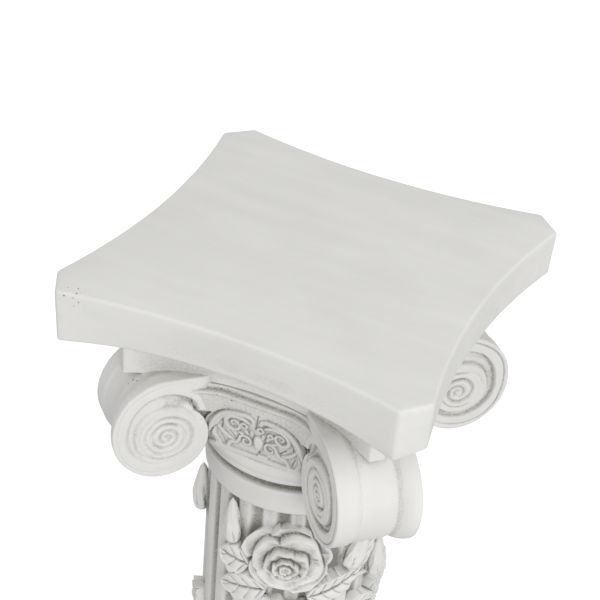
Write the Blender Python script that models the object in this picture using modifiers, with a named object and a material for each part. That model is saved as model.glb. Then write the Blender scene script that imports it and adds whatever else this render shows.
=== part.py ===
# Column pedestal: one casting in metres, +Z up, origin at the middle of its underside.
# Its four sides face -Y, +X, +Y and -X, and its four volutes stand on the diagonals.

import math

import bmesh
import bpy
from mathutils import Vector

OBJECT_NAME = "column_pedestal"

# Heights, from the ground up
PLINTH_HEIGHT = 0.040
LOWER_TORUS_HEIGHT = 0.026
SCOTIA_HEIGHT = 0.020
UPPER_TORUS_HEIGHT = 0.016
BASE_FILLET_HEIGHT = 0.003
SHAFT_FOOT_HEIGHT = 0.011
SHAFT_HEIGHT = 0.412
COLLAR_HEIGHT = 0.022
NECK_GROOVE_HEIGHT = 0.0075
NECK_BAND_HEIGHT = 0.0175
DRUM_HEIGHT = 0.0625
LOWER_SLAB_THICKNESS = 0.0447
TOP_SLAB_THICKNESS = 0.0378

# Plan sizes: a reach is a distance from the axis
PLINTH_WIDTH = 0.250
PLINTH_BEVEL = 0.002
LOWER_TORUS_REACH = 0.116
SCOTIA_REACH = 0.088
UPPER_TORUS_REACH = 0.097
SHAFT_FOOT_REACH = 0.080
SHAFT_RADIUS = 0.071
COLLAR_FOOT_RADIUS = 0.074
COLLAR_TOP_RADIUS = 0.076
NECK_GROOVE_RADIUS = 0.068
NECK_BAND_RADIUS = 0.0765
DRUM_FOOT_REACH = 0.0735
DRUM_TOP_REACH = 0.080
DRUM_LIP_HEIGHT = 0.0075
LOWER_SLAB_CORNER_REACH = 0.147
LOWER_SLAB_CHAMFER = 0.012
LOWER_SLAB_WAIST_REACH = 0.080
TOP_SLAB_CORNER_REACH = 0.1928
TOP_SLAB_CHAMFER = 0.0276
TOP_SLAB_WAIST_REACH = 0.1314
TOP_SLAB_BEVEL = 0.0018

# Flutes
FLUTE_COUNT = 20
FLUTE_WIDTH = 0.0123
FLUTE_DEPTH = 0.0035
FLUTE_FOOT_CLEARANCE = 0.006

# Volutes: the spiral is drawn clockwise from its top, with a reach for each quarter turn
VOLUTE_WIDTH = 0.0626
VOLUTE_EYE_REACH = 0.119
VOLUTE_EYE_DROP = 0.0465
VOLUTE_REACHES = (
    0.0545, 0.0440, 0.0365, 0.0330, 0.0275, 0.0255, 0.0185, 0.0185, 0.0120, 0.0115, 0.0070, 0.0060, 0.0040
)
VOLUTE_OUTLINE_TURNS = 0.81
VOLUTE_BAND = 0.0130
VOLUTE_BAND_SHARE = 0.48
VOLUTE_RIM_WIDTH = 0.0135
VOLUTE_GROOVE_WIDTH = 0.003
VOLUTE_GROOVE_DEPTH = 0.0022
VOLUTE_RECESS_DEPTH = 0.005
VOLUTE_RECESS_WIDTH = 0.002
VOLUTE_RECESS_START = -0.09
VOLUTE_RECESS_TURNS = 1.6

# Arched relief panels between the volutes
PANEL_HALF_WIDTH = 0.0425
PANEL_HEIGHT = 0.0451
PANEL_SPRING_HEIGHT = 0.025
PANEL_FOOT_REACH = 0.0755
PANEL_TOP_REACH = 0.0830
SCROLL_WIDTH = 0.0065
SCROLL_RISE = 0.0032
SCROLL_INSET = 0.88
SCROLL_TAPER = 0.6
HIGH_CURL_CENTRE = (0.0195, 0.0300)
HIGH_CURL_RADIUS = 0.0080
LOW_CURL_CENTRE = (0.0105, 0.0155)
LOW_CURL_RADIUS = 0.0062
SHELL_WIDTH = 0.0095
SHELL_HEIGHT = 0.016
SHELL_FOOT_HEIGHT = 0.0085
SHELL_RISE = 0.0035

# Rose garland: a stem winds down the shaft and carries a rose at equal steps
FRONT_TURN = 292.0
FRONT_DROP = 0.046
ROSE_STEP_TURN = 108.0
ROSE_STEP_DROP = 0.078
ROSE_COUNT = 4
FRONT_ROSE_RADIUS = 0.034
ROSE_RADIUS = 0.028
ROSE_RISE_SHARE = 0.58
LEAF_LENGTH = 0.036
LEAF_WIDTH = 0.020
LEAF_RISE = 0.0075
LEAF_FOLD = 0.0022
BUD_LENGTH = 0.034
BUD_RADIUS = 0.0075
CARVING_ROOT = 0.0050

# Facets and the depth that joined shapes share
ROUND_STEPS = 40
BASE_STEPS = 28
OVERLAP = 0.002

BASE_HEIGHT = (
    LOWER_TORUS_HEIGHT + SCOTIA_HEIGHT + UPPER_TORUS_HEIGHT + BASE_FILLET_HEIGHT + SHAFT_FOOT_HEIGHT
)
BASE_Z = PLINTH_HEIGHT
SHAFT_Z = BASE_Z + BASE_HEIGHT
COLLAR_Z = SHAFT_Z + SHAFT_HEIGHT
NECK_GROOVE_Z = COLLAR_Z + COLLAR_HEIGHT
NECK_BAND_Z = NECK_GROOVE_Z + NECK_GROOVE_HEIGHT
DRUM_Z = NECK_BAND_Z + NECK_BAND_HEIGHT
LOWER_SLAB_Z = DRUM_Z + DRUM_HEIGHT
TOP_SLAB_Z = LOWER_SLAB_Z + LOWER_SLAB_THICKNESS
TOP_Z = TOP_SLAB_Z + TOP_SLAB_THICKNESS
VOLUTE_EYE_Z = LOWER_SLAB_Z - VOLUTE_EYE_DROP
SIDES = [math.radians(90 * number) for number in range(4)]


# Scene, collections and small helpers

def clear_scene():
    for old in list(bpy.data.objects):
        bpy.data.objects.remove(old, do_unlink=True)


def new_collection(name):
    collection = bpy.data.collections.new(name)
    bpy.context.scene.collection.children.link(collection)
    return collection


def add_mesh(name, mesh, collection):
    shape = bpy.data.objects.new(name, mesh)
    collection.objects.link(shape)
    if collection is not parts:
        shape.hide_render = True
        shape.display_type = "WIRE"
    return shape


def mesh_from(name, solid, collection):
    bmesh.ops.recalc_face_normals(solid, faces=solid.faces)
    mesh = bpy.data.meshes.new(name)
    solid.to_mesh(mesh)
    solid.free()
    return add_mesh(name, mesh, collection)


def loft(name, rings, collection, curved=False):
    """Skin a row of rings with as many points each, and cap both ends."""
    solid = bmesh.new()
    rows = [[solid.verts.new(point) for point in ring] for ring in rings]
    count = len(rows[0])
    for low, high in zip(rows, rows[1:]):
        for number in range(count):
            after = (number + 1) % count
            solid.faces.new((low[number], low[after], high[after], high[number]))
    solid.faces.new(rows[0])
    solid.faces.new(rows[-1])
    if curved:
        bmesh.ops.triangulate(solid, faces=solid.faces)
    return mesh_from(name, solid, collection)


def prism(name, outline, collection, place):
    """Extrude a flat outline between the two depths that place() is given."""
    rings = [[place(point, depth) for point in outline] for depth in (0, 1)]
    return loft(name, rings, collection)


def turned(name, profile, steps, collection):
    """Turn a profile of (radius, height) points, listed from its top down its outer side."""
    mesh = bpy.data.meshes.new(name)
    edges = [(number, number + 1) for number in range(len(profile) - 1)]
    mesh.from_pydata([(radius, 0, height) for radius, height in profile], edges, [])
    shape = add_mesh(name, mesh, collection)
    screw = shape.modifiers.new("turn", "SCREW")
    screw.steps = steps
    screw.render_steps = steps
    screw.use_merge_vertices = True
    screw.merge_threshold = 0.00001
    return shape


def boolean(shape, operation, collection):
    cut = shape.modifiers.new(operation.lower(), "BOOLEAN")
    cut.operation = operation
    cut.solver = "EXACT"
    cut.operand_type = "COLLECTION"
    cut.collection = collection


def spun(point, angle):
    """Turn a point about the axis of the column."""
    cosine, sine = math.cos(angle), math.sin(angle)
    return Vector((point[0] * cosine - point[1] * sine, point[0] * sine + point[1] * cosine, point[2]))


def spread(start, end, count):
    return [start + (end - start) * number / (count - 1) for number in range(count)]


def arc(centre, reach, rise, start, end, count):
    """Points of an elliptical arc in (radius, height), angles in degrees."""
    angles = [math.radians(angle) for angle in spread(start, end, count)]
    return [(centre[0] + reach * math.cos(a), centre[1] + rise * math.sin(a)) for a in angles]


# Slabs with concave sides and cut corners

def concave_outline(corner_reach, chamfer, waist_reach, count):
    """One side runs between two cut corners as an arc that bows in to the waist."""
    half = (corner_reach - chamfer / 2) * math.sqrt(0.5)
    edge = (corner_reach + chamfer / 2) * math.sqrt(0.5)
    sag = edge - waist_reach
    radius = (half * half + sag * sag) / (2 * sag)
    sweep = math.asin(half / radius)
    side = []
    for angle in spread(-sweep, sweep, count):
        side.append((radius * math.sin(angle), -waist_reach - radius * (1 - math.cos(angle)), 0))
    return [spun(point, turn) for turn in SIDES for point in side]


def slab(name, outline, low, high, collection):
    return prism(name, outline, collection, lambda point, depth: (point[0], point[1], (low, high)[depth]))


def add_slabs():
    lower = concave_outline(LOWER_SLAB_CORNER_REACH, LOWER_SLAB_CHAMFER, LOWER_SLAB_WAIST_REACH, 7)
    slab("lower_slab", lower, LOWER_SLAB_Z, TOP_SLAB_Z + OVERLAP, joined)
    upper = concave_outline(TOP_SLAB_CORNER_REACH, TOP_SLAB_CHAMFER, TOP_SLAB_WAIST_REACH, 9)
    top = slab(OBJECT_NAME, upper, TOP_SLAB_Z, TOP_Z, parts)
    bevel = top.modifiers.new("worn edges", "BEVEL")
    bevel.width = TOP_SLAB_BEVEL
    bevel.segments = 1
    bevel.limit_method = "ANGLE"
    bevel.angle_limit = math.radians(30)
    return top


# Volutes

def volute_radius(turn):
    """The spiral's reach from the eye, eased between the quarter turns and level before the top."""
    if turn < 0:
        return VOLUTE_REACHES[0] / math.cos(2 * math.pi * turn)
    place = min(turn * 4, len(VOLUTE_REACHES) - 1.001)
    first = int(place)
    share = place - first
    before, low, high, after = (
        VOLUTE_REACHES[min(max(first + step, 0), len(VOLUTE_REACHES) - 1)] for step in (-1, 0, 1, 2)
    )
    slope, bend = high - before, 2 * before - 5 * low + 4 * high - after
    return low + share / 2 * (slope + share * (bend + share * (3 * (low - high) + after - before)))


def volute_point(turn, radius):
    """A point (reach, height) of the spiral's plane, clockwise from the top."""
    angle = math.radians(90 - 360 * turn)
    return VOLUTE_EYE_REACH + radius * math.cos(angle), VOLUTE_EYE_Z + radius * math.sin(angle)


def volute_outline(inset):
    """The roll's outline: a flat band from the drum, then most of the first turn."""
    curve = [volute_point(turn, volute_radius(turn) - inset) for turn in spread(0.0, VOLUTE_OUTLINE_TURNS, 16)]
    root = DRUM_FOOT_REACH - OVERLAP
    return [(root, curve[0][1])] + curve + [(root, curve[-1][1])]


def recess_reaches(turn):
    """The outer and inner reach of the hollow between one turn's band and the next turn."""
    reach = volute_radius(turn)
    outer = reach - min(VOLUTE_BAND, VOLUTE_BAND_SHARE * reach)
    return outer, min(volute_radius(turn + 1), outer - VOLUTE_RECESS_WIDTH)


def volute_place(diagonal, point, across):
    return spun((point[0], across, point[1]), diagonal)


def add_volute(number):
    diagonal = SIDES[number] + math.radians(45)
    half = VOLUTE_WIDTH / 2
    rim = half - VOLUTE_RIM_WIDTH
    floor = rim - VOLUTE_GROOVE_WIDTH
    stations = [(-half, 0), (-rim, 0), (-floor, VOLUTE_GROOVE_DEPTH)]
    stations += [(-across, inset) for across, inset in reversed(stations)]
    rings = []
    for across, inset in stations:
        rings.append([volute_place(diagonal, point, across) for point in volute_outline(inset)])
    loft(f"volute_{number}", rings, joined)
    turns = spread(VOLUTE_RECESS_START, VOLUTE_RECESS_TURNS, 15)
    rim_edge = [volute_point(turn, recess_reaches(turn)[0]) for turn in turns]
    core_edge = [volute_point(turn, recess_reaches(turn)[1]) for turn in reversed(turns)]
    for face in (-1, 1):
        depths = (face * (half - VOLUTE_RECESS_DEPTH), face * (half + OVERLAP))
        rings = []
        for across in depths:
            rings.append([volute_place(diagonal, point, across) for point in rim_edge + core_edge])
        loft(f"volute_recess_{number}_{face}", rings, recesses)


# Drum, neck mouldings and the arched panels

def drum_ring(height, reach, squareness):
    """A circle that turns into a soft square as squareness goes from 0 to 1."""
    ring = []
    for number in range(ROUND_STEPS):
        angle = 2 * math.pi * number / ROUND_STEPS
        cosine, sine = math.cos(angle), math.sin(angle)
        square = (abs(cosine) ** 6 + abs(sine) ** 6) ** (-1 / 6)
        radius = reach * (1 + (square - 1) * squareness)
        ring.append((radius * cosine, radius * sine, height))
    return ring


def add_drum():
    lip = LOWER_SLAB_Z - DRUM_LIP_HEIGHT
    rings = [
        drum_ring(NECK_BAND_Z - OVERLAP, NECK_BAND_RADIUS, 0.0),
        drum_ring(NECK_BAND_Z + NECK_BAND_HEIGHT * 0.6, NECK_BAND_RADIUS, 0.5),
        drum_ring(DRUM_Z, DRUM_FOOT_REACH, 0.9),
        drum_ring(lip, DRUM_TOP_REACH, 1.0),
        drum_ring(lip + OVERLAP, DRUM_FOOT_REACH, 1.0),
        drum_ring(LOWER_SLAB_Z + OVERLAP, DRUM_FOOT_REACH, 1.0),
    ]
    loft("drum", rings, joined, curved=True)
    collar = [
        (0, NECK_BAND_Z),
        (NECK_GROOVE_RADIUS, NECK_BAND_Z),
        (NECK_GROOVE_RADIUS, NECK_GROOVE_Z),
        (COLLAR_TOP_RADIUS, NECK_GROOVE_Z),
        (COLLAR_FOOT_RADIUS, COLLAR_Z),
        (0, COLLAR_Z),
    ]
    turned("collar", collar, ROUND_STEPS, joined)


def panel_place(side, across, up, out):
    """A point of a panel that faces -Y before it is spun: up from its foot, out from its face."""
    lean = (PANEL_TOP_REACH - PANEL_FOOT_REACH) * up / PANEL_HEIGHT
    return spun((across, -PANEL_FOOT_REACH - lean - out, DRUM_Z + up), side)


def panel_outline():
    rise = PANEL_HEIGHT - PANEL_SPRING_HEIGHT
    crown = arc((0, PANEL_SPRING_HEIGHT), PANEL_HALF_WIDTH, rise, 0, 180, 13)
    return [(PANEL_HALF_WIDTH, 0)] + crown + [(-PANEL_HALF_WIDTH, 0)]


def curl(centre, start_radius, end_radius, start, sweep, count):
    """A spiral of (across, up) points round a centre, angles in degrees."""
    points = []
    for share in spread(0, 1, count):
        angle = math.radians(start + sweep * share)
        radius = start_radius + (end_radius - start_radius) * share
        points.append((centre[0] + radius * math.cos(angle), centre[1] + radius * math.sin(angle)))
    return points


def panel_scrolls():
    """Two scrolls for the right half: a long one that follows the arch, and a low curl."""
    half = PANEL_HALF_WIDTH * SCROLL_INSET
    rise = (PANEL_HEIGHT - PANEL_SPRING_HEIGHT) * SCROLL_INSET
    arch = [(half, SCROLL_WIDTH / 2)] + arc((0, PANEL_SPRING_HEIGHT), half, rise, 15, 60, 3)
    arch += curl(HIGH_CURL_CENTRE, HIGH_CURL_RADIUS, HIGH_CURL_RADIUS / 2, 120, 210, 4)
    low = [(LOW_CURL_CENTRE[0] * 2, SCROLL_WIDTH / 2)]
    low += curl(LOW_CURL_CENTRE, LOW_CURL_RADIUS, LOW_CURL_RADIUS, 0, 250, 4)
    return arch, low


def add_scroll(name, side, path):
    """A ridge along the path that narrows from its foot to its curl."""
    rings = []
    for number, point in enumerate(path):
        before = Vector(path[max(number - 1, 0)])
        after = Vector(path[min(number + 1, len(path) - 1)])
        along = (after - before).normalized()
        share = 1 - SCROLL_TAPER * number / (len(path) - 1)
        beside = Vector((-along.y, along.x)) * SCROLL_WIDTH / 2 * share
        ring = [panel_place(side, point[0] + beside.x, point[1] + beside.y, -OVERLAP)]
        ring.append(panel_place(side, point[0], point[1], SCROLL_RISE * share))
        ring.append(panel_place(side, point[0] - beside.x, point[1] - beside.y, -OVERLAP))
        rings.append(ring)
    loft(name, rings, joined, curved=True)


def add_panel(number):
    side = SIDES[number]
    reach = PANEL_FOOT_REACH - DRUM_FOOT_REACH + 2 * OVERLAP
    depths = (-reach, 0)
    prism(
        f"panel_{number}",
        panel_outline(),
        joined,
        lambda point, depth: panel_place(side, point[0], point[1], depths[depth]),
    )
    for hand in (-1, 1):
        for order, path in enumerate(panel_scrolls()):
            add_scroll(f"scroll_{number}_{hand}_{order}", side, [(hand * across, up) for across, up in path])
    rings = []
    for share in spread(0.08, 0.92, 4):
        up = SHELL_FOOT_HEIGHT + SHELL_HEIGHT * share
        swell = math.sin(math.pi * share) ** 0.6
        across = SHELL_WIDTH / 2 * swell * (0.7 + 0.4 * share)
        ring = [(-across, -OVERLAP), (across, -OVERLAP), (across * 0.6, SHELL_RISE * swell)]
        ring.append((-across * 0.6, SHELL_RISE * swell))
        rings.append([panel_place(side, x, up, out) for x, out in ring])
    loft(f"shell_{number}", rings, joined, curved=True)


# Shaft and base

def add_shaft():
    profile = [
        (0, COLLAR_Z + COLLAR_HEIGHT / 2),
        (SHAFT_RADIUS, COLLAR_Z + COLLAR_HEIGHT / 2),
        (SHAFT_RADIUS, SHAFT_Z - OVERLAP),
        (0, SHAFT_Z - OVERLAP),
    ]
    shaft = turned("shaft", profile, ROUND_STEPS, joined)
    radius = (FLUTE_WIDTH ** 2 / 4 + FLUTE_DEPTH ** 2) / (2 * FLUTE_DEPTH)
    axis = SHAFT_RADIUS - FLUTE_DEPTH + radius
    foot = SHAFT_Z + FLUTE_FOOT_CLEARANCE + radius
    head = COLLAR_Z + COLLAR_HEIGHT
    for number in range(FLUTE_COUNT):
        capsule = [(0, head), (radius, head), (radius, foot)]
        capsule += arc((0, foot), radius, radius, -35, -90, 3)
        flute = turned(f"flute_{number}", capsule, 8, flutes)
        angle = 2 * math.pi * number / FLUTE_COUNT
        flute.location = (axis * math.cos(angle), axis * math.sin(angle), 0)
        flute.rotation_euler = (0, 0, angle + math.radians(22.5))
    boolean(shaft, "DIFFERENCE", flutes)


def torus_edge(reach, low, height, count):
    """The outer half of a round moulding, from its top to its foot."""
    half = height / 2
    return arc((reach - half, low + half), half, half, 78, -78, count)


def add_base():
    scotia_low = BASE_Z + LOWER_TORUS_HEIGHT
    upper_low = scotia_low + SCOTIA_HEIGHT
    foot_low = upper_low + UPPER_TORUS_HEIGHT
    fillet = BASE_FILLET_HEIGHT
    cove = (UPPER_TORUS_REACH, scotia_low + SCOTIA_HEIGHT / 2)
    hollow = UPPER_TORUS_REACH - SCOTIA_REACH
    profile = [(0, SHAFT_Z), (SHAFT_RADIUS, SHAFT_Z)]
    profile += [(SHAFT_FOOT_REACH, foot_low + fillet)]
    profile += [(SHAFT_FOOT_REACH, foot_low)]
    profile += torus_edge(UPPER_TORUS_REACH, upper_low, UPPER_TORUS_HEIGHT, 4)
    profile += arc(cove, hollow, SCOTIA_HEIGHT / 2 - fillet, 110, 250, 4)
    profile += [(LOWER_TORUS_REACH - LOWER_TORUS_HEIGHT / 2, scotia_low + fillet)]
    profile += torus_edge(LOWER_TORUS_REACH, BASE_Z, LOWER_TORUS_HEIGHT, 5)
    profile += [(LOWER_TORUS_REACH - LOWER_TORUS_HEIGHT / 2, BASE_Z - OVERLAP), (0, BASE_Z - OVERLAP)]
    turned("base_mouldings", profile, BASE_STEPS, joined)
    solid = bmesh.new()
    bmesh.ops.create_cube(solid, size=1.0)
    for vert in solid.verts:
        vert.co.x *= PLINTH_WIDTH
        vert.co.y *= PLINTH_WIDTH
        vert.co.z = (vert.co.z + 0.5) * PLINTH_HEIGHT
    bmesh.ops.bevel(
        solid,
        geom=[edge for edge in solid.edges if max(v.co.z for v in edge.verts) > PLINTH_HEIGHT / 2],
        offset=PLINTH_BEVEL,
        segments=1,
        affect="EDGES",
    )
    mesh_from("plinth", solid, joined)


# Garland

def on_shaft(turn, height, right, up, out):
    """A point beside the place at turn degrees: right and up along the shaft, out from it."""
    angle = math.radians(turn) + right / SHAFT_RADIUS
    reach = SHAFT_RADIUS + out
    return Vector((reach * math.cos(angle), reach * math.sin(angle), height + up))


# petals in the row, its first petal's angle, reach of its foot and lip, level of its foot and lip
FRONT_ROSE_ROWS = [
    (5, 0, 0.95, 1.00, -0.25, 0.16),
    (5, 36, 0.72, 0.76, 0.14, 0.62),
    (4, 10, 0.46, 0.50, 0.40, 0.92),
    (3, 50, 0.20, 0.24, 0.60, 1.00),
]
PLAIN_ROSE_ROWS = [
    (5, 0, 0.94, 1.00, -0.25, 0.20),
    (4, 36, 0.60, 0.64, 0.18, 0.72),
    (3, 10, 0.28, 0.32, 0.50, 1.00),
]


def add_rose(name, turn, height, radius, rows, spokes):
    """Rows of petals, each a lip that stands above the valley of the row outside it."""
    rise = radius * ROSE_RISE_SHARE
    rings = []
    for petals, start, foot, lip, low, high in rows:
        for share, level, ripple in ((foot, low, 0), (lip, high, 0.16), (lip - 0.10, high, 0.10)):
            ring = []
            for number in range(spokes):
                angle = 2 * math.pi * number / spokes
                wave = abs(math.cos(petals * (angle - math.radians(start)) / 2))
                reach = radius * share * (0.90 + 0.10 * wave)
                out = rise * (level + ripple * (wave - 0.6))
                ring.append(on_shaft(turn, height, reach * math.cos(angle), reach * math.sin(angle), out))
            rings.append(ring)
    loft(name, rings, joined, curved=True)


def add_leaf(name, turn, height, heading, length, width):
    """A pointed leaf with a sunk midrib and a back that is rooted in the shaft."""
    along = Vector((math.cos(math.radians(heading)), math.sin(math.radians(heading))))
    beside = Vector((-along.y, along.x))
    rings = []
    for share in (0.0, 0.25, 0.65, 1.0):
        half = width / 2 * max(math.sin(math.pi * share ** 0.8) ** 0.85, 0.06)
        out = LEAF_RISE * (0.3 + 0.7 * math.sin(math.pi * (0.15 + 0.6 * share)))
        centre = along * length * share
        ring = []
        section = [(-half, out), (0, out - LEAF_FOLD), (half, out)]
        section += [(half * 0.75, -CARVING_ROOT), (-half * 0.75, -CARVING_ROOT)]
        for across, level in section:
            place = centre + beside * across
            ring.append(on_shaft(turn, height, place.x, place.y, level))
        rings.append(ring)
    loft(name, rings, joined, curved=True)


def add_bud(name, turn, height, heading, length, radius):
    """A closed bud: six-sided sections along its own axis, half sunk in the shaft."""
    along = Vector((math.cos(math.radians(heading)), math.sin(math.radians(heading))))
    beside = Vector((-along.y, along.x))
    rings = []
    for share, girth in ((0.0, 0.35), (0.15, 0.85), (0.4, 1.0), (0.7, 0.75), (1.0, 0.18)):
        centre = along * length * share
        ring = []
        for number in range(6):
            angle = 2 * math.pi * number / 6
            place = centre + beside * radius * girth * math.cos(angle)
            out = radius * (0.55 + girth * math.sin(angle))
            ring.append(on_shaft(turn, height, place.x, place.y, out))
        rings.append(ring)
    loft(name, rings, joined, curved=True)


def stem_height(turn):
    return COLLAR_Z - FRONT_DROP - (turn - FRONT_TURN) * ROSE_STEP_DROP / ROSE_STEP_TURN


def add_garland():
    # the leaves and buds round the front rose: turn, drop below the collar, heading, share of the size
    front = COLLAR_Z - FRONT_DROP
    add_rose("rose_0", FRONT_TURN, front, FRONT_ROSE_RADIUS, FRONT_ROSE_ROWS, 20)
    leaves = [(268, 0.060, 165, 0.8), (270, 0.068, 205, 0.8), (281, 0.078, 205, 1.0), (296, 0.080, 275, 0.8),
              (309, 0.086, 12, 1.25), (340, 0.070, 78, 1.1), (222, 0.030, 70, 0.8), (12, 0.100, 300, 0.9),
              (240, 0.098, 250, 0.9)]
    for number, (turn, drop, heading, share) in enumerate(leaves):
        add_leaf(f"front_leaf_{number}", turn, COLLAR_Z - drop, heading, LEAF_LENGTH * share, LEAF_WIDTH * share)
    buds = [(256, 0.044, 97, 1.0), (329, 0.062, 66, 0.95), (236, 0.112, 100, 0.7)]
    for number, (turn, drop, heading, share) in enumerate(buds):
        add_bud(f"front_bud_{number}", turn, COLLAR_Z - drop, heading, BUD_LENGTH * share, BUD_RADIUS * share)
    for number in range(1, ROSE_COUNT):
        turn = FRONT_TURN + ROSE_STEP_TURN * number
        height = stem_height(turn)
        add_rose(f"rose_{number}", turn, height, ROSE_RADIUS, PLAIN_ROSE_ROWS, 12)
        for order, heading in enumerate((160, 330)):
            side = math.copysign(ROSE_RADIUS * 0.72, math.cos(math.radians(heading)))
            shift = math.degrees(side / SHAFT_RADIUS)
            rise = ROSE_RADIUS * 0.5 * math.sin(math.radians(heading))
            add_leaf(f"leaf_{number}_{order}", turn + shift, height + rise, heading, LEAF_LENGTH, LEAF_WIDTH)
        add_bud(f"bud_{number}", turn - 40, stem_height(turn - 40), 80, BUD_LENGTH, BUD_RADIUS)


def cast_stone():
    material = bpy.data.materials.new("cast_stone")
    material.use_nodes = True
    shader = material.node_tree.nodes["Principled BSDF"]
    shader.inputs["Base Color"].default_value = (0.72, 0.71, 0.68, 1)
    shader.inputs["Roughness"].default_value = 0.8
    shader.inputs["Metallic"].default_value = 0.0
    return material


# The casting

clear_scene()
parts = new_collection("column pedestal")
joined = new_collection("shapes joined to the slab")
recesses = new_collection("volute recess cutters")
flutes = new_collection("flute cutters")

pedestal = add_slabs()
for corner in range(4):
    add_volute(corner)
    add_panel(corner)
add_drum()
add_shaft()
add_base()
add_garland()
boolean(pedestal, "UNION", joined)
boolean(pedestal, "DIFFERENCE", recesses)
pedestal.data.materials.append(cast_stone())
pedestal.data.shade_smooth()
pedestal.data.set_sharp_from_angle(angle=math.radians(35))
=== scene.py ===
import math

import bmesh
import bpy
import numpy as np
from mathutils import Matrix, Vector
from mathutils.bvhtree import BVHTree


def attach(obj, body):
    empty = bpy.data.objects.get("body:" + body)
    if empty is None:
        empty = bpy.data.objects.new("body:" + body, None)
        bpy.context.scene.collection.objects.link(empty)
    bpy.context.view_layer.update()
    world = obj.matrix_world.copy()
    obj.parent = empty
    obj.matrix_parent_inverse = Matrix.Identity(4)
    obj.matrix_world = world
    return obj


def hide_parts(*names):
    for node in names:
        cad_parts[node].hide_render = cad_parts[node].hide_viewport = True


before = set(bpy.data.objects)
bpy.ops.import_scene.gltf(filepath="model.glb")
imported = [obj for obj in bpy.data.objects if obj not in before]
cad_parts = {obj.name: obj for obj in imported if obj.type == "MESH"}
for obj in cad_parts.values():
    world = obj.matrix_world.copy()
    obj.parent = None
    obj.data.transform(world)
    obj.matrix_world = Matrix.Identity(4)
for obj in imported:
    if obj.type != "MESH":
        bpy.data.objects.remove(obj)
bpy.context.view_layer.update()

# Column pedestal: a cast stone capital, fluted shaft, rose garland and moulded base.
# Metres, +Z up, the front face looks to -Y and the four volutes stand on the diagonals.

levels = {
    "shaftFoot": 0.116,
    "collarFoot": 0.528,
    "panelFoot": 0.575,
    "lowerSlabFoot": 0.6375,
    "topSlabFoot": 0.6822,
    "top": 0.720,
}
sides = {"front": 0, "right": 90, "back": 180, "left": 270}  # degrees turned from -Y


# helpers for picking, moving and closing meshes

def deselectAll():
    if bpy.context.object and bpy.context.object.mode != "OBJECT":
        bpy.ops.object.mode_set(mode="OBJECT")
    bpy.ops.object.select_all(action="DESELECT")


def pick(piece):
    deselectAll()
    piece.select_set(True)
    bpy.context.view_layer.objects.active = piece


def edit(piece, selectMode="VERT"):
    pick(piece)
    bpy.ops.object.mode_set(mode="EDIT")
    bpy.ops.mesh.select_mode(type=selectMode)
    bpy.ops.mesh.select_all(action="DESELECT")
    return bmesh.from_edit_mesh(piece.data)


def objectMode():
    bpy.ops.object.mode_set(mode="OBJECT")


def faceOutwards():
    # every face of the piece being edited turned outwards, which ends the edit
    bpy.ops.mesh.select_all(action="SELECT")
    bpy.ops.mesh.normals_make_consistent(inside=False)
    objectMode()


def nameIt(name):
    piece = bpy.context.object
    piece.name = name
    piece.data.name = name
    return piece


def getPoints(piece):
    flat = np.empty(len(piece.data.vertices) * 3, np.float32)
    piece.data.vertices.foreach_get("co", flat)
    return flat.reshape(-1, 3).astype(float)


def setPoints(piece, points):
    piece.data.vertices.foreach_set("co", np.asarray(points, np.float32).ravel())
    piece.data.update()


def ease(low, high, value):
    share = np.clip((value - low) / (high - low), 0, 1)
    return share * share * (3 - 2 * share)


def sheetGrid(name, across, along):
    # a flat grid of that many cells; its points are then pulled into shape by their place on it
    deselectAll()
    bpy.ops.mesh.primitive_grid_add(x_subdivisions=across, y_subdivisions=along, size=1)
    piece = nameIt(name)
    points = getPoints(piece)
    column = np.rint((points[:, 0] + 0.5) * across).astype(int)
    row = np.rint((points[:, 1] + 0.5) * along).astype(int)
    return piece, column, row


def mend(piece, gap=0.00001):
    # doubles merged, faces turned outwards
    edit(piece)
    bpy.ops.mesh.select_all(action="SELECT")
    bpy.ops.mesh.remove_doubles(threshold=gap)
    faceOutwards()


def capOpenings(piece):
    edit(piece)
    bpy.ops.mesh.select_non_manifold(extend=False, use_wire=False, use_multi_face=False,
                                     use_non_contiguous=False, use_verts=False)
    bpy.ops.mesh.edge_face_add()
    faceOutwards()


def applyAll(piece):
    pick(piece)
    for modifier in list(piece.modifiers):
        bpy.ops.object.modifier_apply(modifier=modifier.name)


def soften(piece, angle=40):
    pick(piece)
    bpy.ops.object.shade_smooth_by_angle(angle=math.radians(angle))


def turnedCopy(piece, name, degrees):
    copy = piece.copy()
    copy.data = piece.data.copy()
    copy.name = name
    copy.data.name = name
    bpy.context.collection.objects.link(copy)
    copy.data.transform(Matrix.Rotation(math.radians(degrees), 4, "Z"))
    return copy


def joinPieces(pieces, name):
    deselectAll()
    for piece in pieces:
        piece.select_set(True)
    bpy.context.view_layer.objects.active = pieces[0]
    bpy.ops.object.join()
    return nameIt(name)


def softBetween(before, low, high, after, share):
    # on a soft curve through four values, that share of the way from the second to the third
    return low + share / 2 * (high - before + share * (
        2 * before - 5 * low + 4 * high - after + share * (3 * (low - high) + after - before)))


def smoothLine(stations, step=0.001):
    # a soft line through stations of (place, place, width, depth ...), in short steps
    stations = np.array(stations, float)
    ends = np.vstack([2 * stations[0] - stations[1], stations, 2 * stations[-1] - stations[-2]])
    found = []
    for number in range(len(stations) - 1):
        before, low, high, after = ends[number:number + 4]
        count = max(int(np.hypot(*(high - low)[:2]) / step), 1)
        for share in np.arange(count) / count:
            found.append(softBetween(before, low, high, after, share))
    found.append(stations[-1])
    return np.array(found)


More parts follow.
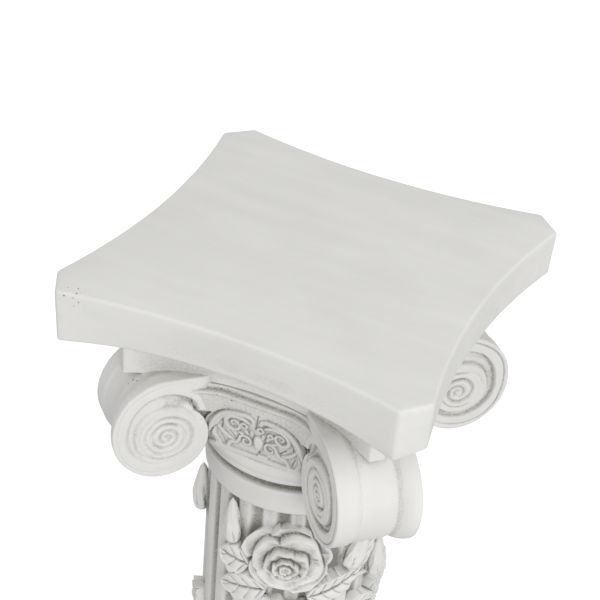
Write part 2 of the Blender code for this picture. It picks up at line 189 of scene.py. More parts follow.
def nearLine(across, up, line):
    # distance to the line, its own width and depth there, and how far along it that is
    best = np.full(across.shape, 9.0)
    values = np.ones(across.shape + (line.shape[1] - 2,))
    run = np.zeros(across.shape)
    walked = 0.0
    for low, high in zip(line, line[1:]):
        step = high[:2] - low[:2]
        length = max(float(np.hypot(*step)), 1e-9)
        share = np.clip(((across - low[0]) * step[0] + (up - low[1]) * step[1]) / length ** 2, 0, 1)
        gap = np.hypot(across - low[0] - share * step[0], up - low[1] - share * step[1])
        closer = gap < best
        best = np.where(closer, gap, best)
        values = np.where(closer[..., None], low[2:] + share[..., None] * (high[2:] - low[2:]), values)
        run = np.where(closer, walked + share * length, run)
        walked += length
    return best, values, run


def softCurve(value, places, heights):
    # through the given heights at the given places, easing in and out of each
    found = np.full(np.shape(value), float(heights[0]))
    for low, high, before, after in zip(places, places[1:], heights, heights[1:]):
        found += (after - before) * ease(low, high, value)
    return found


def flatGroove(gap, width, depth, wall=0.0007):
    return depth * (1 - ease(width - wall * 0.3, width + wall, gap))


def softGroove(gap, width, depth):
    return depth * np.exp(-(gap / width) ** 2)


def roundRidge(gap, width, rise):
    return rise * np.sqrt(np.clip(1 - (gap / width) ** 2, 0, 1))


# the two slabs: a circle pulled to the concave outline, extruded, bevelled
# stretches are of the two halves of a side; the front leans in and hangs lower at its corners

topSlab = {
    "cornerReach": 0.1926, "cut": 0.0276, "waist": 0.1313,
    "low": levels["topSlabFoot"], "high": levels["top"],
    "arcSteps": 36, "edge": 0.0024, "waver": 0.0004, "lean": 0.0012, "rows": 6,
    "frontStretch": (1.050, 1.026), "leftStretch": (1.0, 0.968), "frontLean": 0.0040, "frontDrop": 0.0052,
}
lowerSlab = {
    "cornerReach": 0.147, "cut": 0.012, "waist": 0.080,
    "low": levels["lowerSlabFoot"], "high": 0.6840,
    "arcSteps": 30, "edge": 0.0012, "waver": 0.0004, "lean": 0.0005, "rows": 6,
    "frontLean": 0.0, "frontDrop": 0.0,
}


def slabOutline(plan):
    half = (plan["cornerReach"] - plan["cut"] / 2) * math.sqrt(0.5)
    edge = (plan["cornerReach"] + plan["cut"] / 2) * math.sqrt(0.5)
    sag = edge - plan["waist"]
    radius = (half * half + sag * sag) / (2 * sag)
    sweep = math.asin(half / radius)
    found = []
    for side, turn in sides.items():
        stretches = plan.get(side + "Stretch", (1.0, 1.0))
        for angle in np.linspace(-sweep, sweep, plan["arcSteps"] + 1):
            stretch = stretches[0] if angle < 0 else stretches[1]
            across = stretch * radius * math.sin(angle)
            point = Vector((across, -plan["waist"] - radius * (1 - math.cos(angle)), 0))
            point.rotate(Matrix.Rotation(math.radians(turn), 3, "Z"))
            found.append(point)
    return found


def wearSlab(slab, plan):
    points = getPoints(slab)
    foot = ease(plan["high"], plan["low"], points[:, 2])
    # cast and hand rubbed: the sides waver a little, always inwards
    angle = np.arctan2(points[:, 1], points[:, 0])
    reach = np.hypot(points[:, 0], points[:, 1])
    wave = (np.sin(angle * 9 + 1.3) + np.sin(angle * 23 + points[:, 2] * 60) * 0.6
            + np.sin(angle * 41 + 2.1 - points[:, 2] * 110) * 0.4)
    inward = plan["waver"] * (0.5 - 0.25 * wave) + plan["lean"] * foot
    inward *= ease(plan["waist"] * 0.86, plan["waist"], reach)
    points[:, :2] *= (1 - inward / np.maximum(reach, 0.001))[:, None]
    # the front was struck off by hand: it leans in at the middle and hangs lower at its two corners
    front = ease(0.02, 0.115, -points[:, 1])
    toCorner = np.clip(np.abs(points[:, 0]) / 0.13, 0, 1) ** 2
    points[:, 1] += plan["frontLean"] * foot * front * (1 - toCorner)
    points[:, 2] -= plan["frontDrop"] * foot * ease(0.118, 0.142, -points[:, 1]) * toCorner
    setPoints(slab, points)


def makeSlab(name, plan):
    outline = slabOutline(plan)
    deselectAll()
    bpy.ops.mesh.primitive_circle_add(vertices=len(outline), radius=plan["cornerReach"], fill_type="NGON")
    slab = nameIt(name)
    setPoints(slab, [(point.x, point.y, plan["low"]) for point in outline])
    edit(slab, "FACE")
    bpy.ops.mesh.select_all(action="SELECT")
    for _ in range(plan["rows"]):
        bpy.ops.mesh.extrude_region_move(
            TRANSFORM_OT_translate={"value": (0, 0, (plan["high"] - plan["low"]) / plan["rows"])})
    faceOutwards()
    bevel = slab.modifiers.new("worn edges", "BEVEL")
    bevel.width = plan["edge"]
    bevel.segments = 4
    bevel.limit_method = "ANGLE"
    bevel.angle_limit = math.radians(30)
    bevel.use_clamp_overlap = True
    applyAll(slab)
    wearSlab(slab, plan)
    soften(slab, 35)
    return slab


topPiece = makeSlab("top_slab", topSlab)
lowerPiece = makeSlab("lower_slab", lowerSlab)
print("slabs made")


# one volute: two carved spiral faces and the roll between them, then a copy for each corner

volute = {
    "width": 0.0626, "eye": (0.119, 0.591), "root": 0.066, "edge": 0.0013,
    "reaches": [52, 42.6, 36.5, 33, 28.5],  # mm from the eye for each quarter turn, clockwise from the top
    "innerReach": 26,
    "topShare": 0.875, "topRun": 0.6,
    "spokes": 176, "rings": 84, "webColumns": 30, "rollColumns": 56,
    "rimWidth": 0.0145, "grooveWidths": (0.0010, 0.0030), "grooveDepths": (0.0002, 0.0019),
    "middleDrop": 0.0019, "middleSwell": 0.0014, "slopeWidths": (0.0042, 0.0050),
    "windingEye": (118.4, -129.4), "windingStep": 5.6,
}
chordSteps = round(volute["spokes"] * (1 - volute["topShare"]))
voluteTop = volute["eye"][1] + volute["reaches"][0] / 1000

# how strongly a face is carved, and how far the outer side stands out, mm, from one face to the other
crispCarving = {
    "recess": 0.8, "wall": 1.5, "fine": 1.0, "spiral": 1.0, "winding": 0.55,
    "shifts": (0, 0, -1.0, 0.5, 4.6),
}
wornCarving = {
    "recess": 0.42, "wall": 2.4, "fine": 0.35, "spiral": 0.35, "winding": 1.15,
    "shifts": (-5.0, -5.4, -7.6, -4.0, -2.0),
}

# carved lines of a face, mm: reach from the axis, height against the top, half width, depth of cut
voluteRecess = [
    (94, -116, 1.6, 1.5), (96.5, -109, 2.8, 3.4), (102, -102.5, 4.3, 4.6), (110, -98.2, 5.2, 5),
    (121, -96.3, 5.6, 5), (133, -99.8, 4.9, 5), (141.7, -108, 3.7, 5), (146, -118, 2.9, 5),
    (147, -129, 2.6, 4.8), (144, -139, 2.3, 4.5), (137, -146.5, 2.1, 4), (128, -150.3, 2, 3.8),
    (118, -150.8, 1.9, 3.4), (109, -148.5, 1.7, 2.8), (102.5, -143, 1.4, 2.2), (99.5, -136, 1.1, 1.6),
    (99.3, -128, 0.95, 1.3), (101.5, -120, 0.85, 1.1), (107, -113.5, 0.8, 1), (116, -110.4, 0.75, 1),
    (130, -112.4, 0.7, 0.9), (137.6, -120, 0.6, 0.6), (139.3, -130, 0.5, 0.2)]
voluteSpiral = [
    (108, -127, 0.5, 0.3), (109.5, -121.5, 0.9, 1.2), (114, -117.8, 1.2, 1.8), (122, -117, 1.3, 2),
    (129, -121.5, 1.3, 2), (131.8, -129, 1.3, 2), (128.5, -135.6, 1.3, 2), (121.5, -138.2, 1.3, 1.9),
    (114, -136.2, 1.2, 1.8), (110.8, -130.5, 1.1, 1.7), (112.6, -125.5, 1.1, 1.6),
    (117.5, -123.6, 1.1, 1.5), (122.6, -126, 1, 1.4), (123.6, -131, 0.9, 1.1), (120.6, -133.8, 0.6, 0.6)]
voluteFine = [
    [(105, -132, 0.5, 0.3), (108.5, -138, 0.7, 0.9), (115, -142.6, 0.7, 0.9), (124, -143.8, 0.6, 0.8),
     (131, -141, 0.5, 0.3)],
    [(106, -80.6, 0.7, 0.15), (119, -80.8, 0.75, 0.9), (132, -84.3, 0.75, 1.2),
     (145.5, -92.5, 0.75, 1.2), (154, -104, 0.75, 1.2), (157.4, -118, 0.75, 1.2), (156.8, -131, 0.75, 1.2),
     (152.6, -145, 0.75, 1.2), (143, -155.5, 0.75, 1.1), (130, -160.4, 0.75, 1), (118, -160.2, 0.7, 0.9),
     (106, -156.6, 0.6, 0.6), (96, -149, 0.5, 0.4), (91, -139, 0.4, 0.1)]]


def voluteReach(turn):
    reaches = volute["reaches"]
    place = np.clip(np.asarray(turn, float) * 4, 0, len(reaches) - 1.001)
    first = place.astype(int)
    padded = np.array([reaches[0]] + reaches + [volute["innerReach"]], float) / 1000
    before, low, high, after = (padded[first + step] for step in range(4))
    return softBetween(before, low, high, after, place - first)


def voluteRim(share):
    # outer edge of the round face for a full circle from the eye's top left, share 0 to 1, clockwise
    turn = share - 1 + volute["topShare"]
    chord = ease(0, 1 - volute["topShare"], share)
    last = voluteReach(volute["topShare"])
    reach = np.where(turn < 0, last + (voluteReach(0.0) - last) * chord, voluteReach(np.maximum(turn, 0)))
    angle = np.pi / 2 - 2 * np.pi * turn
    return reach, angle


def faceCut(reach, height, carving):
    # how deep the face is carved at a place given by its distance from the axis and its height
    across, drop = reach * 1000, (height - levels["top"]) * 1000
    gap, values, _ = nearLine(across, drop, smoothLine(voluteRecess, 1.5))
    cut = flatGroove(gap, values[..., 0], values[..., 1] * carving["recess"], carving["wall"])
    # the hollow under the band is cut as deep on every volute
    deepest = crispCarving["recess"] / carving["recess"]
    cut *= 1 + (deepest - 1) * ease(6, 14, drop + 112) * ease(128, 118, across)
    gap, values, _ = nearLine(across, drop, smoothLine(voluteSpiral, 1.2))
    cut = np.maximum(cut, softGroove(gap, values[..., 0] * 1.25, values[..., 1] * carving["spiral"]))
    for line in voluteFine:
        gap, values, _ = nearLine(across, drop, smoothLine(line, 1.5))
        cut = np.maximum(cut, softGroove(gap, values[..., 0], values[..., 1] * carving["fine"]))
    # soft windings all over, so that the flats between the grooves are rounded
    beside, above = across - volute["windingEye"][0], drop - volute["windingEye"][1]
    fromEye = np.hypot(beside, above)
    turns = np.arctan2(above, beside) / (2 * np.pi)
    winding = 0.5 + 0.5 * np.cos(2 * np.pi * (fromEye / volute["windingStep"] - turns))
    cut += carving["winding"] * winding * (1 - ease(19, 26, fromEye))
    cut += 0.9 * carving["fine"] * (1 - ease(0.6, 1.6, np.abs(fromEye - 2.4)))
    return cut / 1000


def roundedEdge(inside):
    # how far the face falls away at its rounded edge, that far inside the rim
    edge = volute["edge"]
    return np.where(inside < edge, edge - np.sqrt(np.clip(edge ** 2 - (edge - inside) ** 2, 0, None)), 0)


def voluteDisc(carving):
    # one spoke per column and one ring per row
    eyeX, eyeZ = volute["eye"]
    disc, column, row = sheetGrid("volute_disc", volute["spokes"], volute["rings"])
    share = column / volute["spokes"]
    reach, angle = voluteRim(share)
    radius = reach * (row / volute["rings"]) ** 0.9
    x, z = eyeX + radius * np.cos(angle), eyeZ + radius * np.sin(angle)
    inside = reach - radius
    rounding = np.where(share >= 1 - volute["topShare"], roundedEdge(inside), 0)
    depth = faceCut(x, z, carving) * ease(0, 0.0016, inside + 0.0004)
    setPoints(disc, np.stack([x, volute["width"] / 2 - depth - rounding, z], 1))
    return disc


def voluteWeb(carving):
    # the flat part that runs from the spiral's top into the drum
    eyeX, eyeZ = volute["eye"]
    root, topRun = volute["root"], volute["topRun"]
    web, column, row = sheetGrid("volute_web", chordSteps, volute["webColumns"])
    reach, angle = voluteRim(column / volute["spokes"])
    x0, z0 = eyeX + reach * np.cos(angle), eyeZ + reach * np.sin(angle)
    lowZ = eyeZ + voluteReach(volute["topShare"]) * math.sin(math.radians(135))
    place = 1 - column / chordSteps
    x1 = np.where(place < topRun, eyeX + (root - eyeX) * place / topRun, root)
    z1 = np.where(place < topRun, voluteTop, voluteTop + (lowZ - voluteTop) * (place - topRun) / (1 - topRun))
    share = row / volute["webColumns"]
    x, z = x0 + (x1 - x0) * share, z0 + (z1 - z0) * share
    rounding = roundedEdge(voluteTop - z)
    setPoints(web, np.stack([x, volute["width"] / 2 - faceCut(x, z, carving) - rounding, z], 1))
    return web


def rollPath():
    # the roll's section, out along the top, round the rim and back along the foot, and the way inwards there
    eyeX, eyeZ = volute["eye"]
    root, topRun, spokes, web = volute["root"], volute["topRun"], volute["spokes"], volute["webColumns"]
    onTop = [place for place in np.arange(chordSteps + 1) / chordSteps if place < topRun]
    path = [(eyeX + (root - eyeX) * place / topRun, voluteTop) for place in reversed(onTop)]
    if path[0][0] > root + 1e-6:
        path.insert(0, (root, voluteTop))
    for number in range(chordSteps + 1, spokes + 1):
        reach, angle = voluteRim(np.array(number / spokes))
        path.append((eyeX + float(reach) * math.cos(angle), eyeZ + float(reach) * math.sin(angle)))
    lastX, lastZ = path[-1]
    path += [(lastX + (root - lastX) * number / web, lastZ) for number in range(1, web + 1)]
    path = np.array(path)
    toEye = np.array([eyeX, eyeZ]) - path
    inward = toEye / np.linalg.norm(toEye, axis=1)[:, None]
    inward[(path[:, 0] < eyeX) & (path[:, 1] > voluteTop - 1e-6)] = (0, -1)
    inward[np.arange(len(path)) > len(path) - web - 1] = (0, 1)
    return path, inward


def voluteRoll(carving):
    half, rim = volute["width"] / 2, volute["width"] / 2 - volute["rimWidth"]
    path, inward = rollPath()
    roll, column, row = sheetGrid("volute_roll", volute["rollColumns"], len(path) - 1)
    place = column / volute["rollColumns"] * 2 - 1
    across = np.sign(place) * np.abs(place) ** 0.85 * (half - volute["edge"])
    fromMiddle = np.abs(across)
    swelling = np.cos(np.clip(fromMiddle / rim, 0, 1) * np.pi / 2)
    middle = volute["middleDrop"] - volute["middleSwell"] * swelling
    inset = np.where(fromMiddle > rim, 0.0, middle)
    slope = np.where(across < 0, *volute["slopeWidths"])
    inset = inset * (1 - ease(-slope, 0.0004, fromMiddle - rim))
    # one rim is parted from the roll by a thin line, the other by a wide worn one
    for side, width, depth in zip((-1, 1), volute["grooveWidths"], volute["grooveDepths"]):
        inset += softGroove(across * side - rim + 0.0006, width, depth * (0.4 + 0.6 * carving["fine"]))
    flat = path[row] + inward[row] * inset[:, None]
    setPoints(roll, np.stack([flat[:, 0], across, flat[:, 1]], 1))
    return roll


def spreadRims(piece, carving):
    # one rim spreads further out than the other, and the roll is drawn in between them
    half, rim = volute["width"] / 2, volute["width"] / 2 - volute["rimWidth"]
    eyeX, eyeZ = volute["eye"]
    points = getPoints(piece)
    beyond = np.hypot(points[:, 0] - eyeX, points[:, 2] - eyeZ)
    spreading = softCurve(points[:, 1], (-half, -rim, 0, rim, half - 0.004), carving["shifts"]) / 1000
    spreading *= np.clip(beyond / 0.045, 0, 1)
    outer = ease(-0.2, 0.9, (points[:, 0] - eyeX) / np.maximum(beyond, 0.001))
    points[:, 0] += spreading * outer
    setPoints(piece, points)


def makeVolute(name, turn, carving):
    faces = [voluteDisc(carving), voluteWeb(carving)]
    for piece in list(faces):
        other = turnedCopy(piece, piece.name + "_far", 0)
        other.data.transform(Matrix.Scale(-1, 4, (0, 1, 0)))
        faces.append(other)
    piece = joinPieces([voluteRoll(carving)] + faces, name)
    mend(piece, 0.00002)
    capOpenings(piece)
    spreadRims(piece, carving)
    piece.data.transform(Matrix.Rotation(math.radians(315 + turn), 4, "Z"))
    soften(piece, 50)
    return piece


voluteFront = makeVolute("volute_front", 0, crispCarving)
voluteCopies = [turnedCopy(voluteFront, "volute_" + name, sides[name]) for name in ("right", "back")]
volutes = [voluteFront] + voluteCopies + [makeVolute("volute_left", sides["left"], wornCarving)]
print("volutes made")


# one arched panel with its scrolls and shell, then a copy for each side

panel = {
    "halfWidth": 0.0500, "flare": 0.0078, "height": 0.0625, "footReach": 0.0755, "lean": 7.5 / 45.1,
    "back": 0.064, "columns": 190, "rows": 128,
    "archHalf": 42.5, "archSpring": 25, "archRise": 20.3, "ground": -0.9,  # mm
    "ribDepth": 0.35, "ribStep": 2.3, "stripRise": 0.55, "slabLip": 55.6, "recess": 3.0, "cornerRecess": 3.5,
}
# lines of the right half, mm: across, up from the panel's foot, half width, rise or depth
archGroove = [
    (41.5, 16, 0.8, 1.2), (41.3, 22, 0.9, 1.4), (39.5, 29, 1, 1.5), (32, 38, 1, 1.5), (25, 42.6, 1, 1.5),
    (15, 46, 0.9, 1.4), (5, 46.6, 0.8, 1.2), (0, 45.6, 0.7, 1.1)]
archScroll = [
    (33, 3, 3.2, 1.7), (36.6, 11, 3.4, 2.1), (36.8, 20, 3.3, 2.3), (33.5, 29.5, 3.2, 2.4),
    (27.5, 36.8, 3.1, 2.5), (19, 41.4, 2.9, 2.5), (10, 42.6, 2.5, 2.3), (4.5, 41, 2, 2), (3, 37.5, 1.5, 1.7)]
highCurl = [
    (7, 35.5, 1.4, 1.7), (11.5, 38.3, 1.8, 2.2), (17, 38.8, 2, 2.4), (23, 36.8, 2.1, 2.5),
    (26.3, 31.5, 2, 2.4), (25, 26.2, 1.8, 2.2), (20.4, 24, 1.6, 2), (16, 26, 1.4, 1.9), (15, 30, 1.3, 1.8),
    (17.2, 33, 1.2, 1.7), (20.6, 33, 1.1, 1.6), (22, 30.4, 1, 1.5), (20.5, 28.8, 0.9, 1.5)]
lowCurl = [
    (25.5, 4, 1.8, 1.6), (23, 9.5, 1.8, 2), (18.4, 11, 1.6, 2.1), (15.6, 15, 1.4, 2.1), (14.4, 19, 1.3, 2.1),
    (10.5, 20.8, 1.3, 2), (6.6, 18.8, 1.2, 2), (6, 14.8, 1.2, 1.9), (9, 12, 1.1, 1.8), (12.2, 13.4, 1, 1.7),
    (12, 16.6, 0.9, 1.6), (10, 16.8, 0.8, 1.5)]
sideLeaf = [(33, 24, 1.2, 1.5), (29.5, 19, 1.8, 2), (25, 14.5, 1.8, 1.9), (20.5, 12.5, 1.2, 1.5)]
sideSlits = [
    [(34, 23.5, 0.7, 1.5), (38.5, 14.5, 0.8, 1.7), (36.5, 6, 0.6, 1)],
    [(23.5, 20, 0.6, 1.2), (18.5, 14.5, 0.6, 1)],
    [(31, 14, 0.6, 1), (28, 6, 0.6, 1.2)],
    [(29, 29.5, 0.7, 1.4), (30, 22, 0.6, 1)]]
# on the whole panel: the stroke below the shell, the slit above it, ringlets and their radius
shellStroke = [(3.4, 13.5), (1.2, 9), (0, 5)]
crownSlit = [(0.3, 46), (-0.6, 38), (-2, 31)]
ringlets = [(-11, 31.5, 2.3), (2.8, 32.3, 2.2), (11, 29.5, 1.9)]
# small leaves of the right half: place, heading, length
smallLeaves = [(9, 25.5, 60, 3.6), (14, 22.5, 20, 3.2), (4.6, 25.5, 80, 3.2)]


def addScrolls(rise, mirrored, up):
    # ribbed scrolls that stand on the rough ground
    found = np.full(mirrored.shape, -1.4)
    for line, ribs in ((archScroll, 1.0), (highCurl, 0.5), (lowCurl, 0.45), (sideLeaf, 0.8)):
        gap, values, run = nearLine(mirrored, up, smoothLine(line, 1.2))
        width, height = values[..., 0], values[..., 1]
        ridge = roundRidge(gap, width, height)
        slant = run + gap * 0.7
        ribbing = 0.5 + 0.5 * np.cos(slant / panel["ribStep"] * 2 * np.pi)
        ridge -= panel["ribDepth"] * ribs * ribbing * (gap < width)
        ridge -= 0.5 * ribs * softGroove(gap, 0.45, 1.0)
        found = np.where(gap < width, np.maximum(found, rise + ridge), found)
    return np.maximum(rise, found)


def addRingletsAndLeaves(rise, across, up):
    ground, mirrored = panel["ground"], np.abs(across)
    for x, z, radius in ringlets:
        gap = np.abs(np.hypot(across - x, up - z) - radius)
        rise = np.maximum(rise, ground + roundRidge(gap, 1.1, 2.0))
    for x, z, heading, length in smallLeaves:
        turn = math.radians(heading)
        along = (mirrored - x) * math.cos(turn) + (up - z) * math.sin(turn)
        beside = -(mirrored - x) * math.sin(turn) + (up - z) * math.cos(turn)
        gap = np.hypot(along / length, beside / (length * 0.42))
        vein = softGroove(beside, 0.35, 0.5) * (gap < 1)
        rise = np.maximum(rise, ground + roundRidge(gap, 1.0, 1.8) - vein)
    return rise


def addShell(rise, across, up):
    # the shell in the middle, with its ribs, and the stroke down from it
    spread = np.arctan2(across - 0.8, up - 4.5)
    blob = np.hypot((across - 0.8) / (3.2 + 0.12 * (up - 8)), (up - 17) / 8.6)
    ribbing = 0.35 * (0.5 + 0.5 * np.cos(spread * 16)) * (blob < 1)
    rise = np.maximum(rise, panel["ground"] + roundRidge(blob, 1.0, 3.3) - ribbing)
    rise -= softGroove(nearLine(across, up, smoothLine(shellStroke, 1.0))[0], 0.7, 1.4)
    rise -= softGroove(nearLine(across, up, smoothLine(crownSlit, 1.0))[0], 0.6, 1.1)
    return rise


def panelRise(across, up):
    # mm out from the leaning face, at mm across and up
    mirrored = np.abs(across)
    half = panel["archHalf"]
    bow = panel["archRise"] * np.sqrt(np.clip(1 - (mirrored / half) ** 2, 0, 1))
    arch = np.where(mirrored < half, panel["archSpring"] + bow, 0)
    inArch = ease(-0.8, 0.6, arch - up) * (1 - ease(41.6, 42.8, mirrored))
    roughness = (np.sin(across * 1.7 + 2 * np.sin(up * 1.1)) * np.sin(up * 2.3 + np.sin(across * 0.9)) * 0.18
                 + np.sin(across * 3.9 + up * 1.3) * np.sin(up * 4.1 - across * 0.7) * 0.1)
    rise = addScrolls(panel["ground"] + 0.6 * roughness, mirrored, up)
    rise = addShell(addRingletsAndLeaves(rise, across, up), across, up)
    for line in sideSlits:
        gap, values, _ = nearLine(mirrored, up, smoothLine(line, 1.0))
        rise -= softGroove(gap, values[..., 0], values[..., 1])
    # the plain strip along the foot, with its tongue
    tongue = (1 - ease(5.6, 6.8, up)) * ease(-1, 0.4, across) * (1 - ease(7.2, 8.6, across))
    strip = np.clip((1 - ease(3.0, 4.2, up)) + tongue, 0, 1)
    rise = rise * (1 - strip) + panel["stripRise"] * strip
    gap, values, _ = nearLine(mirrored, up, smoothLine(archGroove, 1.2))
    rise -= flatGroove(gap, values[..., 0] * 0.7, values[..., 1], 0.7) * 0.9
    # outside the arch: the rough hollow, its raised lip, then back in under the slab
    hollow = -1.15 + 1.1 * roughness + roundRidge(up - panel["slabLip"], 1.5, 1.0)
    hollow -= ease(56.4, 58, up) * panel["recess"]
    corner = ease(33.5, 37.5, mirrored) * ease(22, 24.5, up) * (1 - ease(33, 36, up)) * (1 - inArch)
    hollow -= corner * panel["cornerRecess"]
    return rise * inArch + hollow * (1 - inArch)


def makePanel():
    piece, column, row = sheetGrid("side_panel_front", panel["columns"], panel["rows"])
    across = (column / panel["columns"] * 2 - 1) * panel["halfWidth"]
    up = row / panel["rows"] * (panel["height"] + 0.001) - 0.001
    out = panelRise(across * 1000, up * 1000) / 1000
    reach = panel["footReach"] + panel["lean"] * np.minimum(up, 0.0575) + out
    reach += panel["flare"] * np.clip((np.abs(across) - 0.023) / 0.0245, 0, 1.2) ** 2 * ease(0.004, 0.018, up)
    border = (column == 0) | (column == panel["columns"]) | (row == 0) | (row == panel["rows"])
    reach = np.where(border, panel["back"], reach)
    setPoints(piece, np.stack([across, -reach, levels["panelFoot"] + up], 1))
    capOpenings(piece)
    soften(piece, 60)
    return piece


panelFront = makePanel()
panels = [panelFront]
panels += [turnedCopy(panelFront, "side_panel_" + name, turn) for name, turn in sides.items() if turn]
print("side panels made")


# round parts: a circle, extruded and scaled up its profile

neck = {
    "sides": 168,
    "profile": [
        (60, 527), (73.4, 527.6), (74.0, 528.4), (74.1, 530), (74.5, 536), (75.3, 544), (75.8, 548.6),
        (75.7, 549.6), (75.1, 550.2), (70.5, 550.5), (68.6, 551.1), (68.0, 552.4), (68.0, 555.2),
        (68.5, 556.6), (69.8, 557.3), (75.0, 557.6), (76.1, 558.2), (76.5, 559.2), (76.5, 561.8),
        (76.1, 562.3), (76.5, 562.9), (76.6, 567), (76.4, 571.5), (75.6, 574.4), (74.2, 575.6),
        (73.5, 577), (74.5, 590), (76, 605), (77.6, 620), (77.6, 636), (60, 638)],  # mm: radius and height
    "squareFrom": 0.5560, "squareTo": 0.5860, "squareEnd": 0.6378,
}
base = {
    "sides": 160,
    "profile": [
        (60, 38.5), (103, 38.8), (107.5, 40.4), (112, 43), (114.8, 47), (116, 51.5), (116, 54.5), (114.8, 59),
        (112, 62.8), (107.5, 65.4), (103, 66), (102.7, 66.6), (102.7, 68.4), (102.2, 69), (97.5, 69.6),
        (93, 71.2), (89.6, 74), (88.3, 77), (88.8, 80), (90.2, 82), (91, 82.8), (91.2, 84.4), (91, 85.6),
        (93.6, 86.6), (96, 89.6), (97, 93.4), (96.6, 97.2), (94.6, 100.4), (91.5, 101.8), (89, 102.1),
        (80.8, 102.3), (80.2, 102.8), (80, 104.4), (80, 105.2), (76.8, 106.4), (73.8, 108.6), (72.1, 111.6),
        (71.3, 115.2), (60, 116.4)],
}


def makeRound(name, plan):
    deselectAll()
    radius, height = plan["profile"][0]
    bpy.ops.mesh.primitive_circle_add(
        vertices=plan["sides"], radius=radius / 1000, location=(0, 0, height / 1000))
    piece = nameIt(name)
    bpy.ops.object.transform_apply(location=True, rotation=True, scale=True)
    edit(piece, "EDGE")
    bpy.ops.mesh.select_all(action="SELECT")
    bpy.ops.mesh.edge_face_add()
    for nextRadius, nextHeight in plan["profile"][1:]:
        bpy.ops.mesh.extrude_region_move(
            TRANSFORM_OT_translate={"value": (0, 0, (nextHeight - height) / 1000)})
        size = nextRadius / radius
        bpy.ops.transform.resize(value=(size, size, 1), center_override=(0, 0, nextHeight / 1000))
        radius, height = nextRadius, nextHeight
    faceOutwards()
    return piece


def makeNeck():
    piece = makeRound("neck_mouldings", neck)
    points = getPoints(piece)
    angle = np.arctan2(points[:, 1], points[:, 0])
    square = (np.abs(np.cos(angle)) ** 6 + np.abs(np.sin(angle)) ** 6) ** (-1 / 6)
    share = ease(neck["squareFrom"], neck["squareTo"], points[:, 2]) * (points[:, 2] < neck["squareEnd"])
    points[:, :2] *= (1 + (square - 1) * share)[:, None]
    setPoints(piece, points)
    soften(piece, 50)
    return piece


def makeBase():
    piece = makeRound("base_mouldings", base)
    soften(piece, 50)
    return piece


plinth = {"width": 0.250, "height": 0.040, "edge": 0.002, "cuts": 9, "waver": 0.0003}


def makePlinth():
    deselectAll()
    bpy.ops.mesh.primitive_cube_add(size=1, location=(0, 0, plinth["height"] / 2))
    piece = nameIt("plinth")
    piece.scale = (plinth["width"], plinth["width"], plinth["height"])
    bpy.ops.object.transform_apply(location=True, rotation=True, scale=True)
    bevel = piece.modifiers.new("worn edges", "BEVEL")
    bevel.width = plinth["edge"]
    bevel.segments = 4
    applyAll(piece)
    edit(piece, "FACE")
    bpy.ops.mesh.select_all(action="SELECT")
    bpy.ops.mesh.subdivide(number_cuts=plinth["cuts"])
    objectMode()
    points = getPoints(piece)
    wave = np.sin(points[:, 0] * 40 + 1) * np.sin(points[:, 1] * 37 + points[:, 2] * 90)
    reach = np.maximum(np.abs(points[:, 0]), np.abs(points[:, 1]))
    inward = plinth["waver"] * (0.5 + 0.5 * wave) * ease(0.118, 0.1235, reach) * (points[:, 2] > 0.001)
    points[:, :2] *= (1 - inward / np.maximum(reach, 0.001))[:, None]
    setPoints(piece, points)
    soften(piece, 35)
    return piece


neckPiece = makeNeck()
basePiece = makeBase()
plinthPiece = makePlinth()
print("neck, base and plinth made")


# the fluted shaft: a tall cylinder, cut into rows, its points drawn in along twenty flutes

shaft = {"radius": 0.071, "flutes": 20, "perFlute": 18, "fluteWidth": 0.0123, "fluteDepth": 0.0035,
         "low": 0.1135, "high": 0.545, "footClear": 0.0062, "rows": 92, "edge": 0.0005}


def shaftReach(angle, height):
    pitch = 2 * np.pi / shaft["flutes"]
    away = (np.mod(angle + pitch / 2, pitch) - pitch / 2) * shaft["radius"]
    width, depth = shaft["fluteWidth"], shaft["fluteDepth"]
    curve = (width ** 2 / 4 + depth ** 2) / (2 * depth)
    foot = levels["shaftFoot"] + shaft["footClear"] + width / 2
    below = np.clip(foot - height, 0, None)
    cut = np.sqrt(np.clip(curve ** 2 - away ** 2 - below ** 2, 0, None)) - (curve - depth)
    edge = shaft["edge"]
    cut = (cut + np.sqrt(cut ** 2 + edge ** 2)) / 2 - edge * 0.25
    return shaft["radius"] - np.clip(cut, 0, None)


def makeShaft():
    deselectAll()
    bpy.ops.mesh.primitive_cylinder_add(
        vertices=shaft["flutes"] * shaft["perFlute"], radius=shaft["radius"],
        depth=shaft["high"] - shaft["low"], location=(0, 0, (shaft["high"] + shaft["low"]) / 2))
    piece = nameIt("fluted_shaft")
    bpy.ops.object.transform_apply(location=True, rotation=True, scale=True)
    mesh = edit(piece, "EDGE")
    for side in mesh.edges:
        side.select_set(abs(side.verts[0].co.z - side.verts[1].co.z) > 0.1)
    bpy.ops.mesh.subdivide(number_cuts=shaft["rows"])
    objectMode()
    points = getPoints(piece)
    angle = np.arctan2(points[:, 1], points[:, 0])
    share = (points[:, 2] - shaft["low"]) / (shaft["high"] - shaft["low"])
    # the rows lie closer low down
    points[:, 2] = shaft["low"] + (shaft["high"] - shaft["low"]) * (0.45 * share ** 2.2 + 0.55 * share)
    reach = shaftReach(angle, points[:, 2])
    points[:, 0], points[:, 1] = reach * np.cos(angle), reach * np.sin(angle)
    setPoints(piece, points)
    soften(piece, 50)
    return piece


shaftPiece = makeShaft()
print("shaft made")


# the garland: roses, leaves, buds and the vine, laid on the shaft

